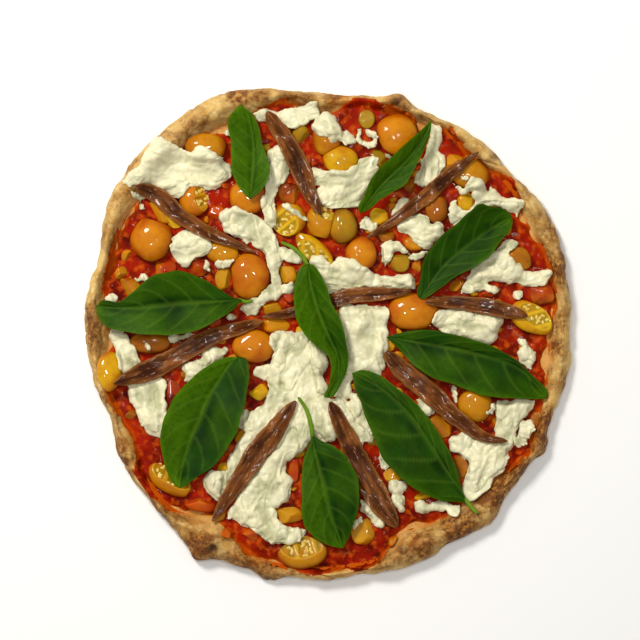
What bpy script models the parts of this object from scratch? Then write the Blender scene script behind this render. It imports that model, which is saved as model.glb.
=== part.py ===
"""A margherita pizza with anchovies, halved cherry tomatoes, torn fresh cheese and basil.

Metres, +Z up. The dough lies on z = 0 and the origin is the middle of its underside.
The pizza is laid out as it was seen from straight above: +X is right in the picture, +Y is up.
Pieces are laid down in the cook's order, and each one rests on the pile below it.
"""

import math

import bmesh
import bpy
import numpy as np

# Driving dimensions in metres
ACROSS = 0.293
BED_HEIGHT = 0.0036
RIM_HEIGHT = 0.0125
SAUCE_DEPTH = 0.0018
SAUCE_SWELL = 0.0003
# The swells' waves along X and Y: radians for each metre, and where they start
SWELL_WAVES = ((150, 1), (130, 2))
# The sauce's depth at its edge, and how deep the scraps sit in it, as parts of its depth
SAUCE_EDGE_DEPTH = 0.6
SCRAP_SEAT = 0.8
TOMATO_SCRAP_HEIGHT = 0.0042
CHEESE_SCRAP_HEIGHT = 0.003
SCRAP_SINK = 0.0006
ANCHOVY_DEPTH = 0.0038
LEAF_DEPTH = 0.0007
LEAF_RIPPLE = 0.0006
GAP = 0.0003
FOOT_ROOM = 0.0012
# A tomato half's height for each unit of its smaller radius
TOMATO_FLATNESS = 0.74
# A half with its skin up: how far its cut edge is tucked in, and that edge's height, as parts of it
TUCK = 0.98
EDGE_HEIGHT = 0.25
FOOT_HEIGHT = 0.1
# A half with its cut face up: the width of its foot, its height, and the dish of the face
CUP_FOOT = 0.8
CUP_HEIGHT = 0.93
CUP_SIDE = 0.75
CUP_DISH = 0.1
# Between a ball's upper and lower half
BELT = 0.1
# Torn cheese: the least radius of a strand, its depth at no radius and the depth that radius adds
STRAND_RADIUS = 0.0034
STRAND_DEPTH = 0.0034
STRAND_SWELL = 0.36
# How much of a strand's half depth stays below and above its middle once it has slumped
SLUMP_BELOW = 0.12
SLUMP_ABOVE = 0.82
CHEESE_VOXEL = 0.0053
# Tomatoes further apart than this never touch
TOUCHING_REACH = 0.05

# The picture's frame in pixels: the pizza's width there, and its centre
PICTURE_ACROSS = 488
PICTURE_CENTRE = (328, 335)
PIXEL = ACROSS / PICTURE_ACROSS

# Radius in pixels every 10 degrees, anticlockwise from +X: the dough's outer edge, then the sauce's
DOUGH_EDGE = (
    243.5, 245, 251, 252, 246, 247, 246, 244.5, 244, 243, 250.7, 262,
    266, 263.5, 262.5, 254.5, 245.5, 245, 244, 240, 236.5, 241, 243, 248,
    252, 249, 245.5, 244.5, 241.5, 245.5, 240.5, 248, 240, 240.3, 239, 243.3,
)
SAUCE_EDGE = (
    222, 230, 231, 229, 236, 229, 234, 233, 234, 222, 235, 232,
    235, 232, 232, 234, 230, 227, 219, 227, 224, 219, 236, 231,
    210, 231, 234, 234, 234, 212, 214, 214, 221, 229, 223, 223,
)
# Lumps and tears of the outer edge: angle and width in degrees, reach in pixels
EDGE_LUMPS = (
    (73, 3, 6), (201, 4, -3), (239, 2.5, 8), (256, 3, 7), (332, 2.5, 6), (162, 4, -3),
)
# Puffs of the rim: angle and width in degrees, extra height in metres
RIM_PUFFS = (
    (20, 12, 0.0012), (52, 9, 0.0018), (73, 5, 0.0028), (98, 10, -0.0012), (125, 14, 0.0022),
    (160, 12, 0.0014), (188, 10, -0.0014), (207, 9, 0.0016), (239, 8, 0.0034), (262, 8, -0.0018),
    (292, 12, 0.0022), (318, 9, 0.0018), (338, 7, -0.0012),
)
RIM_STEPS = 84
# The rim's least width in pixels
LEAST_RIM = 13
# The bed's rings, as parts of its radius
BED_RINGS = (0, 0.3, 0.56, 0.8, 1)
# The rim's rings: part of its width, and part of its height above the bed as it rises
RIM_RISE = ((0.12, 0.5), (0.3, 0.87), (0.52, 1))
# The same for its outer side, as parts of its height above the underside
RIM_FALL = ((0.76, 0.86), (0.94, 0.58), (1, 0.3), (0.95, 0.07), (0.82, 0))

# Halved cherry tomatoes: centre, half length and half width in pixels, turn in degrees, side up
TOMATOES = (
    (206, 147, 21, 14, 0, "skin"), (194, 200, 15, 17, 0, "skin"), (152, 239, 21, 22, 0, "skin"),
    (248, 197, 19, 17.5, 0, "skin"), (222, 252, 17, 12, -10, "skin"), (250, 276, 20, 23, 0, "skin"),
    (150, 342, 21, 12, 0, "skin"), (110, 371, 12.5, 20, 0, "skin"), (254, 346, 22, 17, -10, "skin"),
    (314, 250, 24, 11, -42, "cut"), (289, 219, 18, 17, 0, "cut"), (321, 221, 15, 18, 0, "skin"),
    (343, 226, 14.5, 18, 0, "cut"), (341, 160, 18, 15, -20, "skin"), (327, 135, 15, 21, 0, "skin"),
    (397, 134, 20, 21, 0, "skin"), (469, 172, 21, 16, -25, "skin"), (437, 209, 12, 14, 0, "skin"),
    (361, 254, 16, 18, -30, "skin"), (412, 312, 25, 19, 0, "skin"), (531, 318, 24, 14.5, -30, "cut"),
    (475, 405, 17.5, 17.5, 0, "skin"), (302, 552, 25, 16.5, 0, "cut"), (170, 480, 24, 13, -30, "skin"),
)
# Small scraps of tomato in the sauce: centre, half length and half width in pixels, turn in degrees
TOMATO_SCRAPS = (
    (160, 213, 17, 9, -40), (224, 279, 9, 12, 0), (165, 268, 12, 10, 0), (131, 288, 15, 10, -15),
    (275, 325, 15, 8, 0), (271, 307, 10, 8, 0), (287, 274, 10, 10, 0), (380, 216, 9, 10, 0),
    (367, 119, 9, 10, 0), (301, 134, 9, 9, 0), (379, 158, 10, 10, 0), (467, 202, 11, 10, 0),
    (414, 243, 12, 7, -25), (400, 261, 10, 10, 0), (493, 329, 10, 7, 0), (439, 427, 11, 15, 30),
    (461, 466, 9, 14, 10), (423, 496, 9, 7, 0), (393, 476, 10, 8, 0), (364, 531, 13, 14, 0),
    (287, 514, 15, 10, 0), (298, 450, 8, 9, 0), (258, 391, 10, 9, 0), (519, 260, 13, 13, 0),
    (541, 292, 13, 13, 0), (200, 502, 17, 9, -5), (196, 268, 12, 8, 0), (217, 214, 8, 9, 0),
    (291, 194, 15, 10, -30), (264, 146, 7, 6, 0), (387, 236, 9, 7, 0), (458, 286, 9, 6, 0),
    (173, 393, 8, 15, 0), (243, 436, 9, 7, 30), (172, 221, 10, 6, -30),
)
# Scraps of cheese in the sauce: centre and radius in pixels
CHEESE_SCRAPS = (
    (348, 137, 6), (366, 137, 8), (427, 507, 8), (446, 507, 8), (425, 404, 9), (524, 350, 8),
    (367, 500, 6), (214, 353, 8), (204, 361, 8), (190, 374, 9), (366, 224, 7), (400, 206, 6),
    (526, 430, 9), (517, 293, 6),
)
# Torn cheese: each patch is a few strands, and a strand is points with a radius, in pixels
CHEESE = {
    "cheese_upper_left": (
        ((127, 184, 6), (140, 176, 11), (155, 157, 15), (161, 147, 9)),
        ((155, 172, 18), (175, 168, 22), (195, 166, 20), (214, 166, 15), (226, 160, 8)),
        ((178, 188, 13), (212, 178, 12)),
    ),
    "cheese_left": (((180, 245, 9), (192, 244, 14), (206, 246, 9)), ((190, 248, 10), (183, 262, 5))),
    "cheese_upper_middle": (
        ((228, 215, 8), (240, 222, 12), (255, 233, 11), (269, 246, 8), (275, 268, 6), (275, 285, 6)),
        ((289, 300, 5), (275, 292, 6), (260, 300, 7), (251, 309, 8), (243, 312, 7)),
        ((275, 272, 5), (287, 260, 5)),
    ),
    "cheese_top": (((262, 117, 6), (284, 122, 7), (298, 117, 7), (314, 105, 6)),),
    "cheese_by_top_leaf": (
        ((272, 148, 6), (278, 160, 11), (278, 173, 11), (271, 190, 6), (269, 204, 6), (271, 217, 5)),
    ),
    "cheese_under_tip": (
        ((316, 173, 8), (336, 180, 7), (344, 192, 9), (360, 190, 9), (363, 172, 9), (369, 158, 6)),
        ((328, 193, 6), (352, 196, 10)),
    ),
    "cheese_upper_right": (((436, 128, 5), (435, 147, 8), (433, 165, 12), (420, 180, 8)),),
    "cheese_right_ring": (
        ((456, 183, 5), (470, 186, 7), (480, 193, 9), (492, 203, 8), (516, 206, 8), (520, 214, 6)),
        ((487, 202, 7), (472, 212, 5), (457, 217, 7)),
    ),
    "cheese_right_lump": (((402, 222, 7), (418, 228, 12), (431, 235, 12), (441, 231, 6)),),
    "cheese_band": (
        ((312, 260, 7), (322, 272, 10), (345, 283, 10), (380, 282, 8), (414, 282, 7)),
        ((345, 269, 8), (358, 275, 8)),
    ),
    "cheese_middle": (
        ((345, 320, 11), (355, 315, 12), (372, 318, 12), (385, 327, 8)),
        ((350, 335, 12), (368, 340, 14), (384, 345, 8)),
        ((368, 345, 12), (362, 365, 11), (350, 385, 8), (348, 400, 7), (355, 420, 8), (367, 440, 6)),
    ),
    "cheese_right": (
        ((515, 245, 6), (500, 256, 9), (485, 272, 10), (466, 288, 7)),
        ((500, 260, 10), (514, 275, 9), (528, 280, 7), (545, 276, 6)),
    ),
    "cheese_right_of_middle": (
        ((442, 325, 9), (460, 322, 12), (478, 322, 11), (492, 324, 8)),
        ((472, 334, 8), (489, 340, 7)),
    ),
    "cheese_lower_left": (
        ((280, 340, 8), (290, 352, 12), (283, 372, 14), (262, 382, 9)),
        ((305, 345, 10), (308, 366, 15), (311, 388, 15), (326, 408, 13), (325, 430, 11)),
        ((250, 406, 7), (268, 398, 11), (290, 396, 14), (305, 415, 9), (300, 434, 9), (285, 446, 9)),
        ((285, 440, 10), (280, 470, 12), (266, 492, 14), (240, 508, 10)),
        ((268, 495, 14), (262, 518, 14), (276, 530, 12), (298, 531, 9)),
        ((266, 470, 7), (248, 462, 8), (232, 452, 8), (224, 476, 9), (222, 492, 8)),
    ),
    "cheese_far_left": (
        ((117, 338, 7), (126, 352, 8), (133, 369, 8), (141, 388, 11)),
        ((141, 388, 11), (149, 400, 15), (152, 416, 13), (156, 429, 8)),
    ),
    "cheese_lower_right": (
        ((514, 405, 14), (508, 420, 11), (500, 440, 10), (492, 455, 15), (480, 475, 13), (473, 488, 9)),
        ((458, 438, 9), (475, 446, 11), (490, 455, 12)),
    ),
}
# Anchovy fillets: points along each with its half width, in pixels
ANCHOVIES = (
    ((267, 112, 5), (285, 140, 8.5), (299, 165, 9.5), (309, 192, 7), (321, 215, 2.5)),
    ((478, 153, 2), (452, 173, 6), (425, 197, 7), (395, 220, 4.5), (367, 238, 2)),
    ((136, 187, 5), (160, 197, 8), (180, 216, 7.5), (214, 235, 6), (256, 253, 2)),
    ((115, 384, 3), (143, 373, 9), (176, 357, 9), (208, 339, 8), (240, 328, 6.5), (263, 321, 3)),
    ((262, 317, 2), (290, 313, 5), (322, 306, 6), (350, 296, 7), (382, 294, 6), (412, 291, 2)),
    ((425, 302, 3), (448, 302, 6), (475, 305, 7.5), (505, 311, 7.5), (527, 316, 3)),
    ((385, 352, 5), (404, 371, 9.5), (430, 393, 10), (457, 419, 7.5), (485, 437, 5), (507, 441, 2)),
    ((296, 401, 4), (274, 431, 9), (254, 457, 10), (236, 484, 7.5), (213, 521, 3)),
    ((330, 402, 5), (346, 436, 9), (360, 465, 11), (380, 502, 11), (397, 527, 5)),
)
# Basil leaves: points along the midrib from stalk to tip, with the half width to its left and right
BASIL = (
    ((251, 199, 2, 2), (250, 178, 14, 17), (247, 150, 19, 20), (243, 125, 15, 17), (240, 106, 3, 3)),
    ((360, 213, 2, 2), (378, 192, 10, 10), (400, 167, 13, 12), (419, 143, 12, 9), (431, 121, 1, 1)),
    ((419, 300, 2, 2), (440, 274, 17, 17), (463, 250, 26, 24), (488, 228, 23, 21), (511, 213, 6, 6)),
    ((242, 300, 2, 2), (212, 302, 20, 20), (180, 303, 30, 31), (140, 311, 18, 24), (98, 311, 4, 4)),
    ((306, 262, 2, 2), (314, 298, 18, 18), (323, 332, 20, 18), (337, 362, 12, 12), (329, 398, 4, 4)),
    ((386, 341, 4, 4), (425, 350, 17, 24), (465, 361, 23, 26), (510, 377, 17, 20), (549, 398, 2, 2)),
    ((240, 357, 7, 7), (222, 387, 27, 24), (203, 420, 31, 34), (190, 455, 23, 25), (180, 488, 2, 2)),
    ((468, 503, 3, 3), (444, 467, 19, 25), (418, 435, 28, 29), (387, 402, 25, 21), (356, 371, 5, 5)),
    ((313, 437, 2, 2), (320, 465, 22, 24), (328, 495, 29, 29), (335, 524, 23, 25), (341, 548, 6, 6)),
)
# How far each leaf's sides rise from its midrib, as a slope, and how far its length arches, in metres
BASIL_FOLDS = (0.35, 0.75, 0.22, 0.25, 0.45, 0.16, 0.28, 0.14, 0.22)
BASIL_ARCHES = (0.003, 0.002, 0.004, 0.004, 0.003, 0.004, 0.003, 0.004, 0.003)
# A leaf's slope beside its midrib, and how much of it is gone at the edge, as parts of its fold
FOLD_AT_RIB = 1.2
FOLD_LOST = 0.5
LEAF_LONG_CELLS = 8
LEAF_WIDE_CELLS = 4
# The rim's height ripples in two ways: waves round the rim, where they start, and their height
RIM_RIPPLES = ((11, 1, 0.0006), (17, 4, 0.0005))
# Segments and rings of the balls that the toppings grow from
TOMATO_BALL = (10, 6)
SCRAP_BALL = (6, 4)
ANCHOVY_BALL = (8, 10)
# Balls between two points of a strand of cheese, and how fine each one is
STRAND_BALLS = 5
STRAND_BALL_FINENESS = 2
# A fillet's route is read at this many stations. Its middle lies this part of its depth up
ROUTE_STATIONS = 200
ANCHOVY_SEAT = 0.4
# The leaf's edge ripples: radians for each cell, and how far the two sides are out of step
LEAF_WAVE = 1.9
LEAF_WAVE_STEP = 2

# The pile's height is kept on square cells
CELL = 0.0005
CELLS = 680
# Reaches in cells: what touches a spot, a smooth sheet's rise and blur, and a lifted corner's
TOUCH = 1
SHEET_RISE = 2
SHEET_BLUR = 4
LIFT_REACH = 6
LIFT_BLUR = 2
LIFTS = 40
# Each triangle is looked at in this many steps along its sides
SPOT_STEPS = 14


def place(x, y):
    """A picture pixel as a place on the pizza, in metres."""
    return (x - PICTURE_CENTRE[0]) * PIXEL, (PICTURE_CENTRE[1] - y) * PIXEL


def around(values, degrees):
    """A closed ring of evenly spaced values, read smoothly at any angle."""
    step = np.asarray(degrees) % 360 / 360 * len(values)
    first = np.floor(step).astype(int)
    part = step - first
    ring = np.asarray(values, float)
    before, here, there, after = (ring[(first + i) % len(ring)] for i in (-1, 0, 1, 2))
    bend = 2 * before - 5 * here + 4 * there - after
    twist = 3 * here - before - 3 * there + after
    return here + 0.5 * part * (there - before + part * (bend + part * twist))


def lumps(rows, degrees):
    """Rounded lumps: each row holds an angle, a width and a size."""
    total = np.zeros(np.shape(degrees))
    for angle, width, size in rows:
        away = (np.asarray(degrees) - angle + 180) % 360 - 180
        total += size * np.exp(-((away / width) ** 2))
    return total


def dough_radius(degrees):
    return (around(DOUGH_EDGE, degrees) + lumps(EDGE_LUMPS, degrees)) * PIXEL


def bed_radius(degrees):
    """The foot of the rim, which stays wide enough to stand."""
    return np.minimum(around(SAUCE_EDGE, degrees) * PIXEL, dough_radius(degrees) - LEAST_RIM * PIXEL)


def rim_height(degrees):
    turn = np.radians(degrees)
    ripple = sum(height * np.sin(waves * turn + start) for waves, start, height in RIM_RIPPLES)
    return RIM_HEIGHT + lumps(RIM_PUFFS, degrees) + ripple


def through(points, count):
    """A smooth line through a few points with their widths, at evenly spaced stations."""
    points = np.asarray(points, float)
    ends = np.vstack([2 * points[0] - points[1], points, 2 * points[-1] - points[-2]])
    at = np.linspace(0, len(points) - 1, count)
    first = np.minimum(at.astype(int), len(points) - 2)
    part = (at - first)[:, None]
    before, here, there, after = (ends[first + i] for i in range(4))
    bend = 2 * before - 5 * here + 4 * there - after
    twist = 3 * here - before - 3 * there + after
    return here + 0.5 * part * (there - before + part * (bend + part * twist))


def points_of(mesh):
    points = np.empty(3 * len(mesh.vertices), np.float32)
    mesh.vertices.foreach_get("co", points)
    return points.reshape(-1, 3).astype(float)


def set_points(mesh, points):
    mesh.vertices.foreach_set("co", np.asarray(points, np.float32).ravel())
    mesh.update()


def corners_of(mesh):
    """The three corners of each triangle."""
    mesh.calc_loop_triangles()
    corners = np.empty(3 * len(mesh.loop_triangles), np.int32)
    mesh.loop_triangles.foreach_get("vertices", corners)
    return corners.reshape(-1, 3)


def shares_of_corners():
    """For places close together in a triangle, the share that each of its corners has in them."""
    steps = range(SPOT_STEPS + 1)
    shares = [(i, j, SPOT_STEPS - i - j) for i in steps for j in steps if i + j <= SPOT_STEPS]
    return np.array(shares) / SPOT_STEPS


def spots_on(mesh):
    """Points close together on every triangle: one row for each place in it, one column a triangle."""
    return np.einsum("sc,tcx->stx", shares_of_corners(), points_of(mesh)[corners_of(mesh)])


def cells_of(points):
    """The row and column of the cell that each point is over."""
    index = np.rint(points[..., :2] / CELL).astype(int) + CELLS // 2
    index = np.clip(index, 0, CELLS - 1)
    return index[..., 0], index[..., 1]


def highest_near(height, reach):
    """Each cell's highest neighbour within a square reach."""
    for axis in (0, 1):
        shifted = [np.roll(height, shift, axis) for shift in range(-reach, reach + 1)]
        height = np.max(shifted, axis=0)
    return height


def blurred(height, reach):
    for axis in (0, 1):
        shifted = [np.roll(height, shift, axis) for shift in range(-reach, reach + 1)]
        height = np.mean(shifted, axis=0)
    return height


def lay_down(pile, mesh):
    """Adds a piece's top to the pile."""
    spots = spots_on(mesh)
    np.maximum.at(pile, cells_of(spots), spots[..., 2])


def shortfall(pile, spots):
    """How far each spot is too low to clear the pile."""
    return highest_near(pile, TOUCH)[cells_of(spots)] + GAP - spots[..., 2]


def fitted(pile, points, bends):
    """A plane, or a gently bent sheet, fitted to the pile under a piece, read at its points."""
    def terms(x, y):
        flat = [np.ones_like(x), x, y]
        return np.stack(flat + [x * x, x * y, y * y] if bends else flat, axis=1)

    middle = points[:, :2].mean(axis=0)
    spread = np.ptp(points[:, :2], axis=0).max()
    under = pile[cells_of(points)]
    x, y = ((points[:, :2] - middle) / spread).T
    answer = np.linalg.lstsq(terms(x, y), under, rcond=None)[0]
    return terms(x, y) @ answer


def settle_stiff(pile, mesh, bends):
    """Lays a stiff piece down: it leans or bends as a whole, and is then lifted until clear."""
    points = points_of(mesh)
    points[:, 2] += fitted(pile, points, bends)
    set_points(mesh, points)
    points[:, 2] += shortfall(pile, spots_on(mesh)).max()
    set_points(mesh, points)


def lift_needed(pile, mesh):
    """How far each point goes up until every triangle is clear. Again and again, each triangle's
    lowest spot is cleared by lifting its corners, each by its share in that spot."""
    start = points_of(mesh)
    corners, shares = corners_of(mesh), shares_of_corners()
    columns = np.arange(len(corners))
    points = start.copy()
    for _ in range(LIFTS):
        short = shortfall(pile, np.einsum("sc,tcx->stx", shares, points[corners]))
        worst = short.argmax(axis=0)
        share = shares[worst]
        lift = np.maximum(short[worst, columns], 0) / (share ** 2).sum(axis=1)
        rise = np.zeros(len(points))
        np.maximum.at(rise, corners, share * lift[:, None])
        points[:, 2] += rise
    return points[:, 2] - start[:, 2]


def settle_soft(pile, mesh):
    """Drapes a soft piece over the pile. It follows a smooth sheet laid on the pile, and where it
    is still too low, it goes up with all that is near, above and below."""
    points = points_of(mesh)
    points[:, 2] += blurred(highest_near(pile, SHEET_RISE), SHEET_BLUR)[cells_of(points)]
    set_points(mesh, points)
    raised = np.zeros_like(pile)
    np.maximum.at(raised, cells_of(points), lift_needed(pile, mesh))
    points[:, 2] += blurred(highest_near(raised, LIFT_REACH), LIFT_BLUR)[cells_of(points)]
    set_points(mesh, points)
    points[:, 2] += max(shortfall(pile, spots_on(mesh)).max(), 0)
    set_points(mesh, points)
    lay_down(pile, mesh)


def material(name, colour, roughness):
    made = bpy.data.materials.new(name)
    made.use_nodes = True
    surface = made.node_tree.nodes["Principled BSDF"]
    surface.inputs["Base Color"].default_value = (*colour, 1)
    surface.inputs["Roughness"].default_value = roughness
    surface.inputs["Metallic"].default_value = 0
    made.diffuse_color = (*colour, 1)
    return made


def add_piece(name, mesh, finish, collection):
    mesh.name = name
    mesh.materials.clear()
    mesh.materials.append(finish)
    mesh.shade_smooth()
    piece = bpy.data.objects.new(name, mesh)
    collection.objects.link(piece)
    return piece


def evaluated(piece):
    """The piece's mesh with its modifiers applied."""
    bpy.context.view_layer.update()
    graph = bpy.context.evaluated_depsgraph_get()
    return bpy.data.meshes.new_from_object(piece.evaluated_get(graph))


def from_bmesh(shape):
    """The shape as a mesh of triangles."""
    bmesh.ops.triangulate(shape, faces=shape.faces)
    mesh = bpy.data.meshes.new("shape")
    shape.to_mesh(mesh)
    shape.free()
    return mesh


def finished(mesh, modify):
    """A mesh after the modifiers that modify() adds to an object holding it."""
    holder = bpy.data.objects.new("holder", mesh)
    bpy.context.scene.collection.objects.link(holder)
    modify(holder)
    result = evaluated(holder)
    bpy.data.objects.remove(holder)
    return result


def turned(stations):
    """A profile turned about Z. Its radii only count stations, and the caller gives them their size."""
    shape = bmesh.new()
    row = [shape.verts.new((radius, 0, height)) for radius, height in stations]
    for a, b in zip(row, row[1:]):
        shape.edges.new((a, b))

    def screw(holder):
        turn = holder.modifiers.new("turn", "SCREW")
        turn.steps = turn.render_steps = RIM_STEPS
        turn.use_merge_vertices = True
        turn.merge_threshold = 0.0001

    return finished(from_bmesh(shape), screw)


def crust_mesh():
    """The stretched dough: a thin bed, a puffed rim, and a flat underside with a rounded foot."""
    rows = [(part, "bed", 1) for part in BED_RINGS]
    rows += [(part, "rise", level) for part, level in RIM_RISE]
    rows += [(part, "fall", level) for part, level in RIM_FALL]
    rows += [(0, "bed", 0)]
    mesh = turned([(part + (kind != "bed"), row) for row, (part, kind, _) in enumerate(rows)])
    points = points_of(mesh)
    ring = np.rint(points[:, 2]).astype(int)
    degrees = np.degrees(np.arctan2(points[:, 1], points[:, 0]))
    inner, outer, top = bed_radius(degrees), dough_radius(degrees), rim_height(degrees)
    parts, kinds, levels = (np.array(column)[ring] for column in zip(*rows))
    radius = np.where(kinds == "bed", parts * inner, inner + parts * (outer - inner))
    rise = BED_HEIGHT + levels * (top - BED_HEIGHT)
    height = np.select([kinds == "bed", kinds == "rise"], [levels * BED_HEIGHT, rise], levels * top)
    turn = np.radians(degrees)
    set_points(mesh, np.stack([radius * np.cos(turn), radius * np.sin(turn), height], axis=1))
    return mesh


def sauce_mesh():
    """The sauce: a sheet on the bed with the same facets below, and low swells on top."""
    mesh = turned([(part, 1) for part in BED_RINGS] + [(part, 0) for part in reversed(BED_RINGS)])
    points = points_of(mesh)
    degrees = np.degrees(np.arctan2(points[:, 1], points[:, 0]))
    part = np.hypot(points[:, 0], points[:, 1])
    on_top = points[:, 2] > 0.5
    radius = part * bed_radius(degrees)
    turn = np.radians(degrees)
    x, y = radius * np.cos(turn), radius * np.sin(turn)
    (rate_x, start_x), (rate_y, start_y) = SWELL_WAVES
    swell = SAUCE_SWELL * np.sin(rate_x * x + start_x) * np.sin(rate_y * y + start_y)
    depth = np.where(part > 0.99, SAUCE_EDGE_DEPTH, 1) * SAUCE_DEPTH + swell
    height = BED_HEIGHT + GAP + np.where(on_top, depth, 0)
    set_points(mesh, np.stack([x, y, height], axis=1))
    return mesh


def ball(segments, rings):
    shape = bmesh.new()
    bmesh.ops.create_uvsphere(shape, u_segments=segments, v_segments=rings, radius=1)
    return from_bmesh(shape)


def across(tomato, direction):
    """How far a tomato's oval reaches in a direction given in radians."""
    long, wide, turn = tomato[2:5]
    angle = direction - math.radians(turn)
    return PIXEL * math.hypot(long * math.cos(angle), wide * math.sin(angle))


def kept_apart(points, tomato, others):
    """Presses a tomato or scrap flat where it meets a neighbour, halfway by size."""
    here = np.array(place(*tomato[:2]))
    for other in others:
        offset = np.array(place(*other[:2])) - here
        distance = np.hypot(*offset)
        if other is tomato or distance > TOUCHING_REACH:
            continue
        direction = math.atan2(offset[1], offset[0])
        own, its = across(tomato, direction), across(other, direction)
        limit = distance * own / (own + its) - GAP
        along = (points[:, :2] - here) @ (offset / distance)
        back = np.maximum(along - limit, 0)
        points[:, :2] -= back[:, None] * offset / distance
    return points


def spun(points, degrees):
    """Points turned about Z, anticlockwise."""
    angle = math.radians(degrees)
    x, y = points[:, 0].copy(), points[:, 1].copy()
    points[:, 0] = x * math.cos(angle) - y * math.sin(angle)
    points[:, 1] = x * math.sin(angle) + y * math.cos(angle)
    return points


def tomato_mesh(tomato):
    """Half a cherry tomato: a dome with its skin up, or a cup with its cut face up."""
    x, y, long, wide, turn, side = tomato
    mesh = ball(*TOMATO_BALL)
    points = points_of(mesh)
    ring = np.hypot(points[:, 0], points[:, 1])
    level = points[:, 2].copy()
    if side == "skin":
        spread = np.where(level < -BELT, TUCK, 1)
        above = EDGE_HEIGHT + (1 - EDGE_HEIGHT) * level
        height = np.where(level < -BELT, FOOT_HEIGHT * (1 + level), above)
    else:
        spread = np.where(level < -BELT, CUP_FOOT, 1)
        height = np.where(level > BELT, CUP_HEIGHT - CUP_DISH * (1 - ring), CUP_SIDE * (1 + level))
    points[:, 0] *= long * PIXEL * spread
    points[:, 1] *= wide * PIXEL * spread
    points[:, 2] = height * TOMATO_FLATNESS * min(long, wide) * PIXEL
    points = spun(points, turn)
    points[:, :2] += place(x, y)
    neighbours = (*TOMATOES, *TOMATO_SCRAPS)
    set_points(mesh, kept_apart(points, tomato, neighbours))
    return mesh


def scrap_mesh(scrap, height):
    """A low rounded scrap that reaches a little way into the sauce."""
    x, y, long, wide, turn = scrap
    mesh = ball(*SCRAP_BALL)
    points = points_of(mesh)
    level = points[:, 2].copy()
    points[:, :2] *= np.array([long, wide]) * PIXEL
    points = spun(points, turn)
    points[:, :2] += place(x, y)
    seat = BED_HEIGHT + GAP + SCRAP_SEAT * SAUCE_DEPTH
    points[:, 2] = seat + np.where(level < 0, SCRAP_SINK, height) * level
    points = kept_apart(points, scrap, TOMATOES)
    degrees = np.degrees(np.arctan2(points[:, 1], points[:, 0]))
    inside = (bed_radius(degrees) - FOOT_ROOM) / np.hypot(points[:, 0], points[:, 1])
    points[:, :2] *= np.minimum(inside, 1)[:, None]
    set_points(mesh, points)
    return mesh


def cheese_mesh(strands):
    """Balls run together along each strand, fused into one soft mass with a flattened underside."""
    shape = bmesh.new()
    for strand in strands:
        stations = 1 + STRAND_BALLS * (len(strand) - 1)
        for x, y, radius in through(strand, stations):
            made = bmesh.ops.create_icosphere(shape, subdivisions=STRAND_BALL_FINENESS, radius=1)
            grown = made["verts"]
            wide = max(radius * PIXEL, STRAND_RADIUS)
            bmesh.ops.scale(shape, vec=(wide, wide, STRAND_DEPTH + STRAND_SWELL * wide), verts=grown)
            bmesh.ops.translate(shape, vec=(*place(x, y), 0), verts=grown)

    def fuse(holder):
        remesh = holder.modifiers.new("fuse", "REMESH")
        remesh.mode = "VOXEL"
        remesh.voxel_size = CHEESE_VOXEL

    fused = bmesh.new()
    fused.from_mesh(finished(from_bmesh(shape), fuse))
    mesh = from_bmesh(fused)
    points = points_of(mesh)
    level = points[:, 2].copy()
    points[:, 2] = np.where(level < 0, SLUMP_BELOW, SLUMP_ABOVE) * level
    set_points(mesh, points)
    return mesh


def anchovy_mesh(route):
    """A ball drawn out along the fillet's route and pressed flat."""
    mesh = ball(*ANCHOVY_BALL)
    points = points_of(mesh)
    stations = through(route, ROUTE_STATIONS)
    path = np.array([place(x, y) for x, y, _ in stations])
    heading = np.gradient(path, axis=0)
    heading /= np.hypot(*heading.T)[:, None]
    along = np.arccos(np.clip(points[:, 2], -1, 1)) / math.pi
    at = np.rint(along * (ROUTE_STATIONS - 1)).astype(int)
    turn = np.arctan2(points[:, 1], points[:, 0])
    ends = np.where((along > 0) & (along < 1), 1, 0)
    sideways = -np.cos(turn) * ends * stations[at, 2] * PIXEL
    upward = np.sin(turn) * ends * ANCHOVY_DEPTH * 0.5
    left = np.stack([-heading[at, 1], heading[at, 0]], axis=1)
    points[:, :2] = path[at] + left * sideways[:, None]
    points[:, 2] = upward + ANCHOVY_DEPTH * ANCHOVY_SEAT
    set_points(mesh, points)
    return mesh


def leaf_mesh(midrib, fold, arch):
    """A leaf: a sheet folded along its midrib and arched, its faces split alike, then given a depth."""
    shape = bmesh.new()
    bmesh.ops.create_grid(shape, x_segments=LEAF_LONG_CELLS, y_segments=LEAF_WIDE_CELLS, size=1)
    mesh = from_bmesh(shape)
    points = points_of(mesh)
    stations = through(midrib, LEAF_LONG_CELLS + 1)
    path = np.array([place(x, y) for x, y, _, _ in stations])
    heading = np.gradient(path, axis=0)
    heading /= np.hypot(*heading.T)[:, None]
    at = np.rint((points[:, 0] + 1) / 2 * LEAF_LONG_CELLS).astype(int)
    side = points[:, 1].copy()
    width = np.where(side > 0, stations[at, 2], stations[at, 3]) * PIXEL
    left = np.stack([-heading[at, 1], heading[at, 0]], axis=1)
    points[:, :2] = path[at] + left * (side * width)[:, None]
    ripple = LEAF_RIPPLE * np.sin(LEAF_WAVE * at + LEAF_WAVE_STEP * np.sign(side)) * np.abs(side)
    points[:, 2] = fold * width * np.abs(side) * (FOLD_AT_RIB - FOLD_LOST * np.abs(side)) + ripple
    points[:, 2] += arch * (1 - (2 * at / LEAF_LONG_CELLS - 1) ** 2)
    set_points(mesh, points)

    def thicken(holder):
        wall = holder.modifiers.new("depth", "SOLIDIFY")
        wall.thickness = LEAF_DEPTH
        wall.offset = 0

    return finished(mesh, thicken)


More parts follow.
